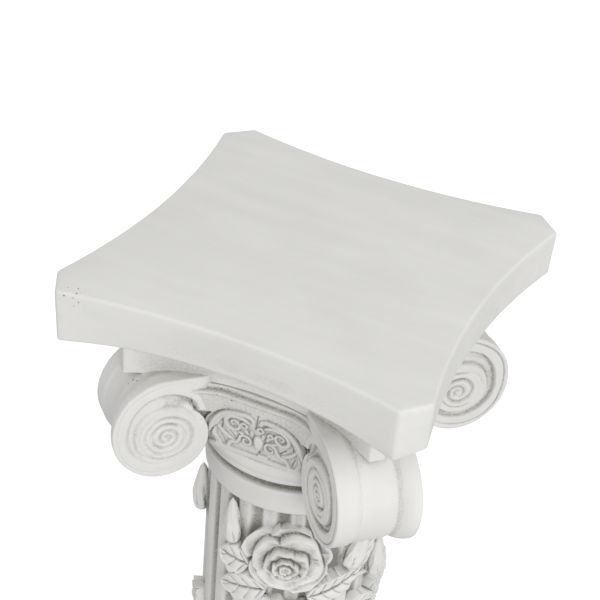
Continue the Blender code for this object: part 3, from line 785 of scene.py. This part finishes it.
garland = {
    "roseTurn": 292, "roseDrop": 0.046, "stepTurn": 108, "stepDrop": 0.078, "roses": 4,
    "frontRadius": 0.034, "radius": 0.028, "riseShare": 0.58,
    "leafLength": 0.036, "leafWidth": 0.020, "leafHeadings": (160, 330), "leafAside": 0.72, "leafAbove": 0.5,
    "budLength": 0.034, "budRadius": 0.0075, "budHeading": 80, "budBefore": 40,
    "vine": 0.0021, "vineOut": 0.0004, "vineWaver": 0.003, "vineStep": 12, "vineBeyond": 60,
}


def onShaft(turn, height, right, up, out):
    angle = math.radians(turn) + right / shaft["radius"]
    reach = shaft["radius"] + out
    return np.stack([reach * np.cos(angle), reach * np.sin(angle), height + up + 0 * angle], -1)


# rows of petals from the rim inwards: petals, first angle, lip reach, lip height, bowl height, ruffle
frontPetals = [
    (5, 52, 1.00, 0.42, 0.20, 0.070), (4, 20, 0.78, 0.66, 0.36, 0.065), (3, 80, 0.44, 0.88, 0.60, 0.035),
    (4, 48, 0.25, 0.98, 0.78, 0.015), (3, 60, 0.12, 0.98, 0.86, 0.010)]
plainPetals = [
    (5, 0, 1.00, 0.42, 0.20, 0.060), (4, 36, 0.72, 0.74, 0.42, 0.050), (3, 20, 0.42, 0.96, 0.66, 0.025),
    (3, 50, 0.20, 0.98, 0.82, 0.010)]


def petalLip(number, rowOfPetals, angle):
    # where the lip of a row stands at each angle, and how high: every petal bulges, and laps over the next
    count, start, lip, high, low, ruffle = rowOfPetals
    place = np.mod((angle - math.radians(start)) / (2 * np.pi) * count, count)
    place = np.mod(place + 0.13 * np.sin(place * 2 * np.pi / count + number), count)
    petal, share = np.floor(place), np.mod(place, 1)
    bulge = 1 - 0.11 * np.abs(2 * share - 1) ** 3 + 0.06 * np.sin(petal * 2.4 + number * 1.7)
    bulge += 0.045 * np.sin(angle * 5 + number * 2 + petal * 0.5) + 0.020 * np.sin(angle * 9 + number)
    height = (high + 0.05 * (share - 0.5) + ruffle * np.sin(angle * 4 + petal * 1.9 + number)
              - 0.04 * (2 * share - 1) ** 2)
    return lip * bulge, height, low


def roseRise(reach, angle, petals):
    # bowls that rise outwards to a rounded lip, each row standing above the one outside it
    rise = np.full(angle.shape, -0.05)
    lips = [petalLip(number, rowOfPetals, angle) for number, rowOfPetals in enumerate(petals)]
    for number, (lip, high, low) in enumerate(lips):
        inner = lips[number + 1][0] if number + 1 < len(lips) else np.zeros(angle.shape)
        grow = np.clip((reach - inner) / np.maximum(lip - inner, 0.02), 0, 1)
        bowl = low + (high - low) * (0.25 * grow + 0.75 * grow ** 1.6)
        bowl -= (high - low) * 0.62 * ease(0.84, 1.0, grow) ** 1.6
        bowl += 0.018 * np.sin(angle * 9 + number * 2 + reach * 4) * ease(0.1, 0.5, grow)
        share = ease(lip + 0.022, lip - 0.012, reach)
        rise = rise * (1 - share) + bowl * share
    return rise, lips[0][0]


def makeRose(name, turn, height, radius, petals, spokes, rings):
    piece, column, row = sheetGrid(name, spokes, rings)
    angle = column / spokes * 2 * np.pi
    reach = np.minimum(row / (rings - 2), 1.04)
    rise, rim = roseRise(reach, angle, petals)
    border = row >= rings - 1
    out = np.where(border, -0.004, rise * radius * garland["riseShare"])
    out = np.where(row == rings, -0.006, out)
    radial = np.where(border, rim * 0.9, np.minimum(reach, rim + 0.016))
    right, up = radial * radius * np.cos(angle), radial * radius * np.sin(angle)
    setPoints(piece, onShaft(turn, height, right, up, out))
    mend(piece)
    capOpenings(piece)
    soften(piece, 70)
    return piece


def makeLeaf(name, turn, height, heading, length, width, bend=0.0, veins=4.0):
    across, along = 30, 56
    piece, column, row = sheetGrid(name, across, along)
    side = column / across * 2 - 1
    share = row / along
    skirt = (np.abs(side) > 1 - 1.5 / across * 2) | (row == 0) | (row == along)
    inner = np.clip(side * across / (across - 2), -1, 1)
    fromRib = np.abs(inner)
    lobe = np.mod(share * veins - 0.20, 1)
    half = width / 2 * np.maximum(np.sin(np.pi * share ** 0.8) ** 0.8, 0.04)
    half = half * (0.86 + 0.16 * np.sin(np.pi * lobe) ** 0.7)
    # the leaf's arch, a pillow between every two side veins, then the cut midrib and veins
    level = 0.0068 * (0.35 + 0.65 * np.sin(np.pi * (0.15 + 0.6 * share)))
    level -= 0.0020 * (1 - fromRib) ** 2.2 * ease(0, 0.1, share)
    vein = np.mod(share * veins - fromRib * 0.95 + 0.75, 1)
    level += 0.0012 * np.sin(np.pi * vein) ** 0.6 * ease(0.03, 0.2, fromRib) * ease(0.0, 0.08, share)
    level -= 0.0004 * np.exp(-(np.minimum(vein, 1 - vein) / 0.05) ** 2) * (1 - ease(0.85, 1, share))
    level -= 0.0010 * np.exp(-(fromRib / 0.06) ** 2)
    level += 0.0016 * ease(0.6, 0.9, inner) * ease(0.1, 0.4, share) - 0.0014 * fromRib ** 6
    level = np.where(skirt, -0.004, level)
    forward = length * share
    drift = bend * length * share ** 2
    turnAngle = math.radians(heading)
    beside = inner * half + drift
    right = forward * math.cos(turnAngle) - beside * math.sin(turnAngle)
    up = forward * math.sin(turnAngle) + beside * math.cos(turnAngle)
    setPoints(piece, onShaft(turn, height, right, up, level))
    capOpenings(piece)
    soften(piece, 60)
    return piece


def makeBud(name, turn, height, heading, length, radius):
    deselectAll()
    bpy.ops.mesh.primitive_uv_sphere_add(segments=40, ring_count=36, radius=1)
    piece = nameIt(name)
    points = getPoints(piece)
    share = (points[:, 2] + 1) / 2
    angle = np.arctan2(points[:, 1], points[:, 0])
    girth = np.interp(share, [0, 0.04, 0.15, 0.4, 0.7, 0.9, 1], [0, 0.36, 0.85, 1, 0.76, 0.42, 0])
    rib = np.abs(np.sin(angle * 2.5 + share * 2.2))
    girth *= 1 + 0.10 * ease(0.0, 0.35, rib) * ease(0.1, 0.3, share) - 0.06 * ease(0.1, 0.3, share)
    sepal = np.abs(np.mod(angle + share * 0.5, 2 * np.pi / 5) / (2 * np.pi / 5) - 0.5) * 2
    cover = ease(0.0, 0.08, (1 - share / 0.66) - sepal)
    girth += 0.17 * cover * ease(0.03, 0.12, share) - 0.08 * np.exp(-(sepal / 0.12) ** 2) * cover
    swelling = np.exp(-((share - 0.07) / 0.05) ** 2) * 0.18
    girth += swelling
    turnAngle = math.radians(heading)
    across = radius * girth * np.cos(angle)
    out = radius * (0.55 + girth * np.sin(angle))
    along = length * share
    right = along * math.cos(turnAngle) - across * math.sin(turnAngle)
    up = along * math.sin(turnAngle) + across * math.cos(turnAngle)
    setPoints(piece, onShaft(turn, height, right, up, out))
    mend(piece)
    soften(piece, 60)
    return piece


def makeVine(name, stations, radius):
    # a bezier curve through places on the shaft, given body by its bevel and made a mesh
    deselectAll()
    bpy.ops.curve.primitive_bezier_curve_add()
    curve = nameIt(name)
    spline = curve.data.splines[0]
    spline.bezier_points.add(len(stations) - 2)
    for point, (turn, height, out) in zip(spline.bezier_points, stations):
        point.co = onShaft(turn, height, 0.0, 0.0, out)
        point.handle_left_type = point.handle_right_type = "AUTO"
    curve.data.dimensions = "3D"
    curve.data.bevel_depth = radius
    curve.data.bevel_resolution = 3
    curve.data.resolution_u = 10
    curve.data.use_fill_caps = True
    bpy.ops.object.convert(target="MESH")
    piece = bpy.context.object
    bpy.ops.object.transform_apply(location=True, rotation=True, scale=True)
    soften(piece, 60)
    return piece


def stemHeight(turn):
    fall = (turn - garland["roseTurn"]) * garland["stepDrop"] / garland["stepTurn"]
    return levels["collarFoot"] - garland["roseDrop"] - fall


# leaves near the front rose: turn, drop below the collar, heading, length, width, bend, side veins
frontLeaves = [
    (269, 0.061, 176, 0.027, 0.031, 0.0, 3.2), (281, 0.082, 190, 0.040, 0.030, 0.05, 4.2),
    (290, 0.090, 250, 0.026, 0.022, 0.1, 3.4), (306, 0.087, 16, 0.050, 0.027, 0.12, 5.6),
    (345, 0.072, 84, 0.044, 0.020, 0.0, 4.4), (206, 0.166, 60, 0.032, 0.024, 0.0, 3.6),
    (216, 0.168, 120, 0.030, 0.022, 0.0, 3.6), (338, 0.108, 330, 0.036, 0.024, 0.0, 4.2),
    (4, 0.110, 300, 0.034, 0.022, 0.0, 4.0)]
# and its buds: turn, drop, heading, length, radius
frontBuds = [
    (256, 0.047, 93, 0.045, 0.0064), (331, 0.063, 60, 0.038, 0.0082), (338, 0.062, 74, 0.040, 0.0064),
    (208, 0.062, 90, 0.050, 0.0068), (285, 0.091, 235, 0.014, 0.0068), (294, 0.093, 275, 0.013, 0.0062),
    (301, 0.091, 300, 0.013, 0.0058)]


def makeFrontGroup():
    collar = levels["collarFoot"]
    rose = makeRose("rose_front", garland["roseTurn"], collar - garland["roseDrop"], garland["frontRadius"],
                    frontPetals, 180, 84)
    leaves = [makeLeaf("leaf", turn, collar - drop, heading, length, width, bend, veins)
              for turn, drop, heading, length, width, bend, veins in frontLeaves]
    buds = [makeBud("bud", turn, collar - drop, heading, length, radius)
            for turn, drop, heading, length, radius in frontBuds]
    return [rose], leaves, buds


def addPlainGroup(number, roses, leaves, buds):
    # a smaller rose further down the vine, with a leaf on each side and a bud before it
    turn = garland["roseTurn"] + garland["stepTurn"] * number
    height = stemHeight(turn)
    roses.append(makeRose(f"rose_{number}", turn, height, garland["radius"], plainPetals, 132, 60))
    for heading in garland["leafHeadings"]:
        side = math.copysign(garland["radius"] * garland["leafAside"], math.cos(math.radians(heading)))
        rise = garland["radius"] * garland["leafAbove"] * math.sin(math.radians(heading))
        leaves.append(makeLeaf("leaf", turn + math.degrees(side / shaft["radius"]), height + rise, heading,
                               garland["leafLength"], garland["leafWidth"]))
    budTurn = turn - garland["budBefore"]
    buds.append(makeBud("bud", budTurn, stemHeight(budTurn), garland["budHeading"],
                        garland["budLength"], garland["budRadius"]))


def makeGarland():
    roses, leaves, buds = makeFrontGroup()
    for number in range(1, garland["roses"]):
        addPlainGroup(number, roses, leaves, buds)
    lastTurn = garland["roseTurn"] + garland["stepTurn"] * (garland["roses"] - 1)
    turns = np.arange(garland["roseTurn"], lastTurn + garland["vineBeyond"], garland["vineStep"])
    stations = [(turn, stemHeight(turn) + garland["vineWaver"] * math.sin(turn * 0.11), garland["vineOut"])
                for turn in turns]
    vine = makeVine("vine", stations, garland["vine"])
    return roses, joinPieces(leaves, "leaves"), joinPieces(buds, "buds"), vine


roses, leafPiece, budPiece, vinePiece = makeGarland()
print("garland made")

pieces = ([topPiece, lowerPiece] + volutes + panels + [neckPiece, shaftPiece, basePiece, plinthPiece]
          + roses + [leafPiece, budPiece, vinePiece])


# the antique wash and painted shade lie where the surface is sheltered: short rays from each point find how
# much

wash = {
    "rays": 10, "goldenTurn": 2.399963, "lift": 0.0002, "near": 0.009, "far": 0.045, "farShare": 0.35,
    "passes": 2, "hollowPasses": 14, "hollowDepth": 0.00045, "hollowShare": 0.42, "edgeShare": 0.16,
    "fluteShare": 0.12,
}
# the sheltered darkening is partly a real wash and partly painted shade, here held back under the top slab
thinnerWashAndShade = {"lower_slab": 0.6, "volute_left": 0.8}  # share of the wash that these hold


def shelterRays():
    rays = []
    for number in range(wash["rays"]):
        height = 1 - (number + 0.5) / wash["rays"] * 0.92
        angle = number * wash["goldenTurn"]
        flat = math.sqrt(1 - height * height)
        rays.append((flat * math.cos(angle), flat * math.sin(angle), height))
    return rays


def wholeTree():
    corners, faces, start = [], [], 0
    for piece in pieces:
        points = getPoints(piece)
        corners.append(points)
        faces += [tuple(start + corner for corner in face.vertices) for face in piece.data.polygons]
        start += len(points)
    return BVHTree.FromPolygons([tuple(point) for point in np.concatenate(corners)], faces)


def relax(values, ends, passes):
    # every value drawn halfway to the mean of its neighbours, that many times
    count = np.bincount(ends.ravel(), minlength=len(values))
    for _ in range(passes):
        total = np.bincount(ends[:, 0], values[ends[:, 1]], len(values))
        total += np.bincount(ends[:, 1], values[ends[:, 0]], len(values))
        values = 0.5 * values + 0.5 * total / np.maximum(count, 1)
    return values


def settleWashAndShade(piece, tree):
    mesh = piece.data
    rays = shelterRays()
    found = np.zeros(len(mesh.vertices))
    near, far, farShare = wash["near"], wash["far"], wash["farShare"]
    for number, vertex in enumerate(mesh.vertices):
        normal = vertex.normal
        turn = normal.to_track_quat("Z", "Y")
        start = vertex.co + normal * wash["lift"]
        total = 0.0
        for ray in rays:
            hit = tree.ray_cast(start, turn @ Vector(ray), far)
            if hit[0] is not None:
                total += 1 if hit[3] < near else farShare * (1 - (hit[3] - near) / (far - near))
        found[number] = total / len(rays)
    ends = np.array([edge.vertices[:] for edge in mesh.edges])
    found = relax(found, ends, wash["passes"])
    # crevices get more of the wash and painted shade, and rubbed edges lose the wash
    points = getPoints(piece)
    normals = np.array([vertex.normal[:] for vertex in mesh.vertices])
    smooth = np.stack([relax(points[:, axis], ends, wash["hollowPasses"]) for axis in range(3)], 1)
    hollow = np.clip(np.sum((smooth - points) * normals, 1) / wash["hollowDepth"], -1, 1)
    return found + wash["hollowShare"] * np.clip(hollow, 0, 1) + wash["edgeShare"] * np.clip(hollow, -1, 0)


def keepWashAndShade(piece, values):
    layer = piece.data.attributes.new("wash", "FLOAT", "POINT")
    layer.data.foreach_set("value", np.asarray(values, np.float32))


# the flutes are darker the deeper they are cut: painted shade in the flutes, with the wash
def fluteWashAndShade(piece):
    points = getPoints(piece)
    depth = (shaft["radius"] - np.hypot(points[:, 0], points[:, 1])) / shaft["fluteDepth"]
    return wash["fluteShare"] * ease(0.1, 0.8, depth)


def washAndShadeAll():
    # copies of one shape share what was found for the first of them
    tree = wholeTree()
    shared = {}
    for piece in pieces:
        family = (piece.name.split("_")[0], len(piece.data.vertices))
        if family not in shared:
            shared[family] = settleWashAndShade(piece, tree)
        values = shared[family] * thinnerWashAndShade.get(piece.name, 1)
        keepWashAndShade(piece, values + (fluteWashAndShade(piece) if piece == shaftPiece else 0))


washAndShadeAll()
print("wash settled")


# finishes: shared effects are groups, each finish keeps its own shader

def makeGroup(name, inputs, outputs):
    group = bpy.data.node_groups.new(name, "ShaderNodeTree")
    for socket, kind, value in inputs:
        made = group.interface.new_socket(name=socket, in_out="INPUT", socket_type="NodeSocket" + kind)
        if value is not None:
            made.default_value = value
    for socket, kind in outputs:
        group.interface.new_socket(name=socket, in_out="OUTPUT", socket_type="NodeSocket" + kind)
    return group, group.nodes.new("NodeGroupInput"), group.nodes.new("NodeGroupOutput")


def addNode(tree, kind, **values):
    node = tree.nodes.new("ShaderNode" + kind)
    for name, value in values.items():
        if name.startswith("in_"):
            node.inputs[name[3:].replace("_", " ")].default_value = value
        else:
            setattr(node, name, value)
    return node


def calc(tree, operation, first, second=0.0):
    node = addNode(tree, "Math", operation=operation)
    for socket, value in zip(node.inputs, (first, second)):
        if isinstance(value, (int, float)):
            socket.default_value = value
        else:
            tree.links.new(value, socket)
    return node.outputs[0]


def blendColours(tree, share, first, second):
    node = addNode(tree, "Mix", data_type="RGBA", blend_type="MIX")
    for socket, value in ((node.inputs[0], share), (node.inputs[6], first), (node.inputs[7], second)):
        if isinstance(value, (int, float, tuple)):
            socket.default_value = value
        else:
            tree.links.new(value, socket)
    return node.outputs[2]


def spreadRange(tree, value, low, high):
    node = addNode(tree, "MapRange", interpolation_type="SMOOTHSTEP")
    node.inputs["From Min"].default_value = low
    node.inputs["From Max"].default_value = high
    tree.links.new(value, node.inputs["Value"])
    return node.outputs["Result"]


def makeBrushGroup():
    # soft clouds, dry brush strokes and fine grain of a rubbed, painted casting
    tree, given, out = makeGroup(
        "brushedCoat", [("Vector", "Vector", None)],
        [("Clouds", "Float"), ("Strokes", "Float"), ("Grain", "Float")])
    clouds = addNode(tree, "TexNoise", in_Scale=14.0, in_Detail=4.0, in_Roughness=0.55)
    tree.links.new(given.outputs["Vector"], clouds.inputs["Vector"])
    stretch = addNode(tree, "VectorMath", operation="MULTIPLY")
    stretch.inputs[1].default_value = (7.0, 60.0, 60.0)
    tree.links.new(given.outputs["Vector"], stretch.inputs[0])
    strokes = addNode(tree, "TexNoise", in_Scale=1.0, in_Detail=5.0, in_Roughness=0.6)
    tree.links.new(stretch.outputs[0], strokes.inputs["Vector"])
    grain = addNode(tree, "TexNoise", in_Scale=560.0, in_Detail=3.0, in_Roughness=0.65)
    tree.links.new(given.outputs["Vector"], grain.inputs["Vector"])
    tree.links.new(spreadRange(tree, clouds.outputs["Fac"], 0.30, 0.70), out.inputs["Clouds"])
    tree.links.new(spreadRange(tree, strokes.outputs["Fac"], 0.28, 0.72), out.inputs["Strokes"])
    tree.links.new(spreadRange(tree, grain.outputs["Fac"], 0.30, 0.70), out.inputs["Grain"])
    return tree


def makePinholeGroup():
    # small air holes of a casting, in patches, most of them round a centre
    tree, given, out = makeGroup(
        "pinholes",
        [("Vector", "Vector", None), ("Amount", "Float", 0.5), ("Centre", "Vector", None),
         ("Spread", "Float", 0.03)],
        [("Holes", "Float")])
    cells = addNode(tree, "TexVoronoi", in_Scale=260.0, in_Randomness=1.0)
    tree.links.new(given.outputs["Vector"], cells.inputs["Vector"])
    patches = addNode(tree, "TexNoise", in_Scale=24.0, in_Detail=2.0)
    tree.links.new(given.outputs["Vector"], patches.inputs["Vector"])
    near = calc(tree, "SUBTRACT", 1.0, spreadRange(tree, cells.outputs["Distance"], 0.10, 0.26))
    limit = calc(tree, "SUBTRACT", 1.0, calc(tree, "MULTIPLY", given.outputs["Amount"], 0.5))
    away = addNode(tree, "VectorMath", operation="DISTANCE")
    tree.links.new(given.outputs["Vector"], away.inputs[0])
    tree.links.new(given.outputs["Centre"], away.inputs[1])
    fade = calc(tree, "MULTIPLY", calc(tree, "DIVIDE", away.outputs["Value"], given.outputs["Spread"]), 0.2)
    fade = calc(tree, "SUBTRACT", fade, 0.12)
    chosen = calc(tree, "GREATER_THAN", calc(tree, "SUBTRACT", patches.outputs["Fac"], fade), limit)
    tree.links.new(calc(tree, "MULTIPLY", near, chosen), out.inputs["Holes"])
    return tree


def makeWashAndShadeGroup():
    # the grey brown wash with painted shade: strongest in sheltered places, broken up by noise
    tree, given, out = makeGroup(
        "antiqueWashAndShade",
        [("Shelter", "Float", 0.0), ("Clouds", "Float", 0.5), ("Grain", "Float", 0.5), ("Low", "Float", 0.1),
         ("High", "Float", 0.9)],
        [("Wash", "Float")])
    mixed = calc(tree, "ADD", calc(tree, "MULTIPLY", given.outputs["Clouds"], 0.45),
                 calc(tree, "MULTIPLY", given.outputs["Grain"], 0.55))
    broken = calc(tree, "ADD", calc(tree, "MULTIPLY", mixed, 0.8), 0.6)
    patchy = calc(tree, "MULTIPLY", given.outputs["Shelter"], broken)
    shelter = calc(tree, "ADD", patchy, calc(tree, "MULTIPLY", calc(tree, "SUBTRACT", mixed, 0.5), 0.10))
    node = addNode(tree, "MapRange", interpolation_type="LINEAR")
    tree.links.new(shelter, node.inputs["Value"])
    tree.links.new(given.outputs["Low"], node.inputs["From Min"])
    tree.links.new(given.outputs["High"], node.inputs["From Max"])
    tree.links.new(node.outputs["Result"], out.inputs["Wash"])
    return tree


brushGroup = makeBrushGroup()
pinholeGroup = makePinholeGroup()
washAndShadeGroup = makeWashAndShadeGroup()

# each finish: light and shade of the coat, the wash with its painted shade and how sheltered a place it
# needs, low to high, the share of brush strokes, and how many air holes lie round which place
carved = {"spread": 0.03, "turn": 90.0, "bump": 0.25}
finishes = {
    "castSlab": {
        "light": (0.79, 0.785, 0.765, 1), "shade": (0.73, 0.725, 0.702, 1), "wash": (0.42, 0.405, 0.37, 1),
        "low": 0.30, "high": 1.4, "strokes": 0.55, "turn": 0.0, "bump": 0.2,
        "pinholes": 1.5, "pitted": (-0.1195, -0.1425, 0.7195), "spread": 0.008},
    "castCapital": {
        "light": (0.81, 0.805, 0.79, 1), "shade": (0.73, 0.725, 0.705, 1), "wash": (0.27, 0.255, 0.225, 1),
        "low": 0.12, "high": 1.0, "strokes": 0.25, "pinholes": 0.7, "pitted": (-0.12, -0.10, 0.64), **carved},
    "castShaft": {
        "light": (0.78, 0.775, 0.758, 1), "shade": (0.68, 0.675, 0.655, 1), "wash": (0.27, 0.255, 0.225, 1),
        "low": 0.06, "high": 0.85, "strokes": 0.35, "pinholes": 0.7, "pitted": (0.03, -0.07, 0.56), **carved},
    # the panels under the slab get a darker coat and wash even on their flats: painted shade
    "castPanelPaintedShade": {
        "light": (0.76, 0.755, 0.738, 1), "shade": (0.66, 0.655, 0.635, 1), "wash": (0.25, 0.237, 0.21, 1),
        "low": 0.04, "high": 1.1, "strokes": 0.2, "pinholes": 0.7, "pitted": (-0.03, -0.09, 0.63), **carved},
    "castRelief": {
        "light": (0.81, 0.805, 0.79, 1), "shade": (0.72, 0.715, 0.695, 1), "wash": (0.20, 0.188, 0.164, 1),
        "low": 0.20, "high": 1.0, "strokes": 0.2, "pinholes": 0.7, "pitted": (0.0, -0.08, 0.60), **carved},
}


def castStone(name, plan):
    material = bpy.data.materials.new(name)
    material.use_nodes = True
    tree = material.node_tree
    shader = tree.nodes["Principled BSDF"]
    place = addNode(tree, "TexCoord")
    mapping = addNode(tree, "Mapping", in_Rotation=(0, math.radians(plan["turn"]), 0))
    tree.links.new(place.outputs["Object"], mapping.inputs["Vector"])
    coat = addNode(tree, "Group", node_tree=brushGroup)
    tree.links.new(mapping.outputs["Vector"], coat.inputs["Vector"])
    holes = addNode(tree, "Group", node_tree=pinholeGroup)
    holes.inputs["Amount"].default_value = plan["pinholes"]
    holes.inputs["Centre"].default_value = plan["pitted"]
    holes.inputs["Spread"].default_value = plan["spread"]
    tree.links.new(place.outputs["Object"], holes.inputs["Vector"])
    # the wash colour laid in by shelter: partly a real wash, partly painted shade in hollows and under other
    # parts
    shelter = addNode(tree, "Attribute", attribute_name="wash")
    washAndShadeNode = addNode(tree, "Group", node_tree=washAndShadeGroup)
    washAndShadeNode.inputs["Low"].default_value = plan["low"]
    washAndShadeNode.inputs["High"].default_value = plan["high"]
    tree.links.new(shelter.outputs["Fac"], washAndShadeNode.inputs["Shelter"])
    tree.links.new(coat.outputs["Clouds"], washAndShadeNode.inputs["Clouds"])
    tree.links.new(coat.outputs["Grain"], washAndShadeNode.inputs["Grain"])
    tone = calc(tree, "ADD", calc(tree, "MULTIPLY", coat.outputs["Clouds"], 1 - plan["strokes"]),
                calc(tree, "MULTIPLY", coat.outputs["Strokes"], plan["strokes"]))
    body = blendColours(tree, tone, plan["shade"], plan["light"])
    washedAndShaded = blendColours(tree, washAndShadeNode.outputs["Wash"], body, plan["wash"])
    # the air holes are painted darker than the wash colour: painted shade inside them
    holeColour = tuple(0.6 * part for part in plan["wash"][:3]) + (1,)
    pitted = blendColours(tree, holes.outputs["Holes"], washedAndShaded, holeColour)
    tree.links.new(pitted, shader.inputs["Base Color"])
    rough = calc(tree, "ADD", 0.66, calc(tree, "MULTIPLY", coat.outputs["Grain"], 0.16))
    tree.links.new(rough, shader.inputs["Roughness"])
    shader.inputs["Specular IOR Level"].default_value = 0.35
    height = calc(tree, "ADD", calc(tree, "MULTIPLY", coat.outputs["Strokes"], 0.5),
                  calc(tree, "MULTIPLY", coat.outputs["Grain"], 0.25))
    height = calc(tree, "SUBTRACT", height, calc(tree, "MULTIPLY", holes.outputs["Holes"], 1.5))
    bump = addNode(tree, "Bump", in_Strength=plan["bump"], in_Distance=0.0004)
    tree.links.new(height, bump.inputs["Height"])
    tree.links.new(bump.outputs["Normal"], shader.inputs["Normal"])
    return material


stone = {name: castStone(name, plan) for name, plan in finishes.items()}
wears = {
    "castSlab": [topPiece, plinthPiece],
    "castCapital": volutes + [neckPiece, lowerPiece],
    "castShaft": [shaftPiece, basePiece],
    "castPanelPaintedShade": panels,
    "castRelief": roses + [leafPiece, budPiece, vinePiece],
}
for name, worn in wears.items():
    for piece in worn:
        piece.data.materials.clear()
        piece.data.materials.append(stone[name])
        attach(piece, "root")
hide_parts("column_pedestal")
print("finishes on")


# floor, light and camera

stageSet = {
    "floorSize": 12, "floorColour": (0.93, 0.93, 0.93, 1), "bounceColour": (0.56, 0.56, 0.56, 1),
    "glow": 0.35, "world": 0.79, "lampAim": (0, 0, 0.6),
}
lamps = {"keyPanel": ((2.0, -2.0, 1.55), 1.8, 32)}  # place, size in metres, watts
photoCamera = {
    "target": (0, 0, 0.720), "turn": 22.7484, "rise": 31.9202, "away": 1.1750,
    "yaw": -0.4218, "pitch": -1.797, "roll": 5.2875, "lens": 95.58,
}


def makeFloor():
    deselectAll()
    bpy.ops.mesh.primitive_plane_add(size=stageSet["floorSize"])
    floor = nameIt("floor")
    paint = bpy.data.materials.new("paleFloor")
    paint.use_nodes = True
    tree = paint.node_tree
    shader = tree.nodes["Principled BSDF"]
    shader.inputs["Roughness"].default_value = 0.9
    shader.inputs["Emission Color"].default_value = (1, 1, 1, 1)
    # seen directly the floor is white, but it throws less light back than that
    seen = addNode(tree, "LightPath").outputs["Is Camera Ray"]
    colour = blendColours(tree, seen, stageSet["bounceColour"], stageSet["floorColour"])
    tree.links.new(colour, shader.inputs["Base Color"])
    tree.links.new(calc(tree, "MULTIPLY", seen, stageSet["glow"]), shader.inputs["Emission Strength"])
    floor.data.materials.append(paint)


def makeLight():
    world = bpy.data.worlds.new("softRoom")
    world.use_nodes = True
    tree = world.node_tree
    sky = tree.nodes["Background"]
    sky.inputs["Color"].default_value = (1, 1, 1, 1)
    seen = addNode(tree, "LightPath").outputs["Is Camera Ray"]
    brightness = calc(tree, "ADD", stageSet["world"], calc(tree, "MULTIPLY", seen, 1 - stageSet["world"]))
    tree.links.new(brightness, sky.inputs["Strength"])
    bpy.context.scene.world = world
    for name, (place, size, power) in lamps.items():
        bpy.ops.object.light_add(type="AREA", location=place)
        lamp = bpy.context.object
        lamp.name = name
        lamp.data.size = size
        lamp.data.energy = power
        aim = Vector(stageSet["lampAim"]) - Vector(place)
        lamp.rotation_euler = aim.to_track_quat("-Z", "Y").to_euler()


def makeCamera():
    plan = photoCamera
    turn, rise = math.radians(plan["turn"]), math.radians(plan["rise"])
    back = Vector((math.sin(turn) * math.cos(rise), -math.cos(turn) * math.cos(rise), math.sin(rise)))
    right = (-back).cross(Vector((0, 0, 1))).normalized()
    up = right.cross(-back)
    aside, below = math.tan(math.radians(plan["yaw"])), math.tan(math.radians(plan["pitch"]))
    forward = (-back + aside * right + below * up).normalized()
    sideways = (right - right.dot(forward) * forward).normalized()
    upward = sideways.cross(forward)
    roll = math.radians(plan["roll"])
    xAxis = math.cos(roll) * sideways + math.sin(roll) * upward
    yAxis = -math.sin(roll) * sideways + math.cos(roll) * upward
    bpy.ops.object.camera_add()
    camera = bpy.context.object
    camera.name = "photoCamera"
    place = Matrix((xAxis, yAxis, -forward)).transposed().to_4x4()
    place.translation = Vector(plan["target"]) + back * plan["away"]
    camera.matrix_world = place
    camera.data.lens = plan["lens"]
    camera.data.sensor_width = 36
    camera.data.clip_start = 0.01
    bpy.context.scene.camera = camera


makeFloor()
makeLight()
makeCamera()
bpy.context.scene.view_settings.view_transform = "Standard"
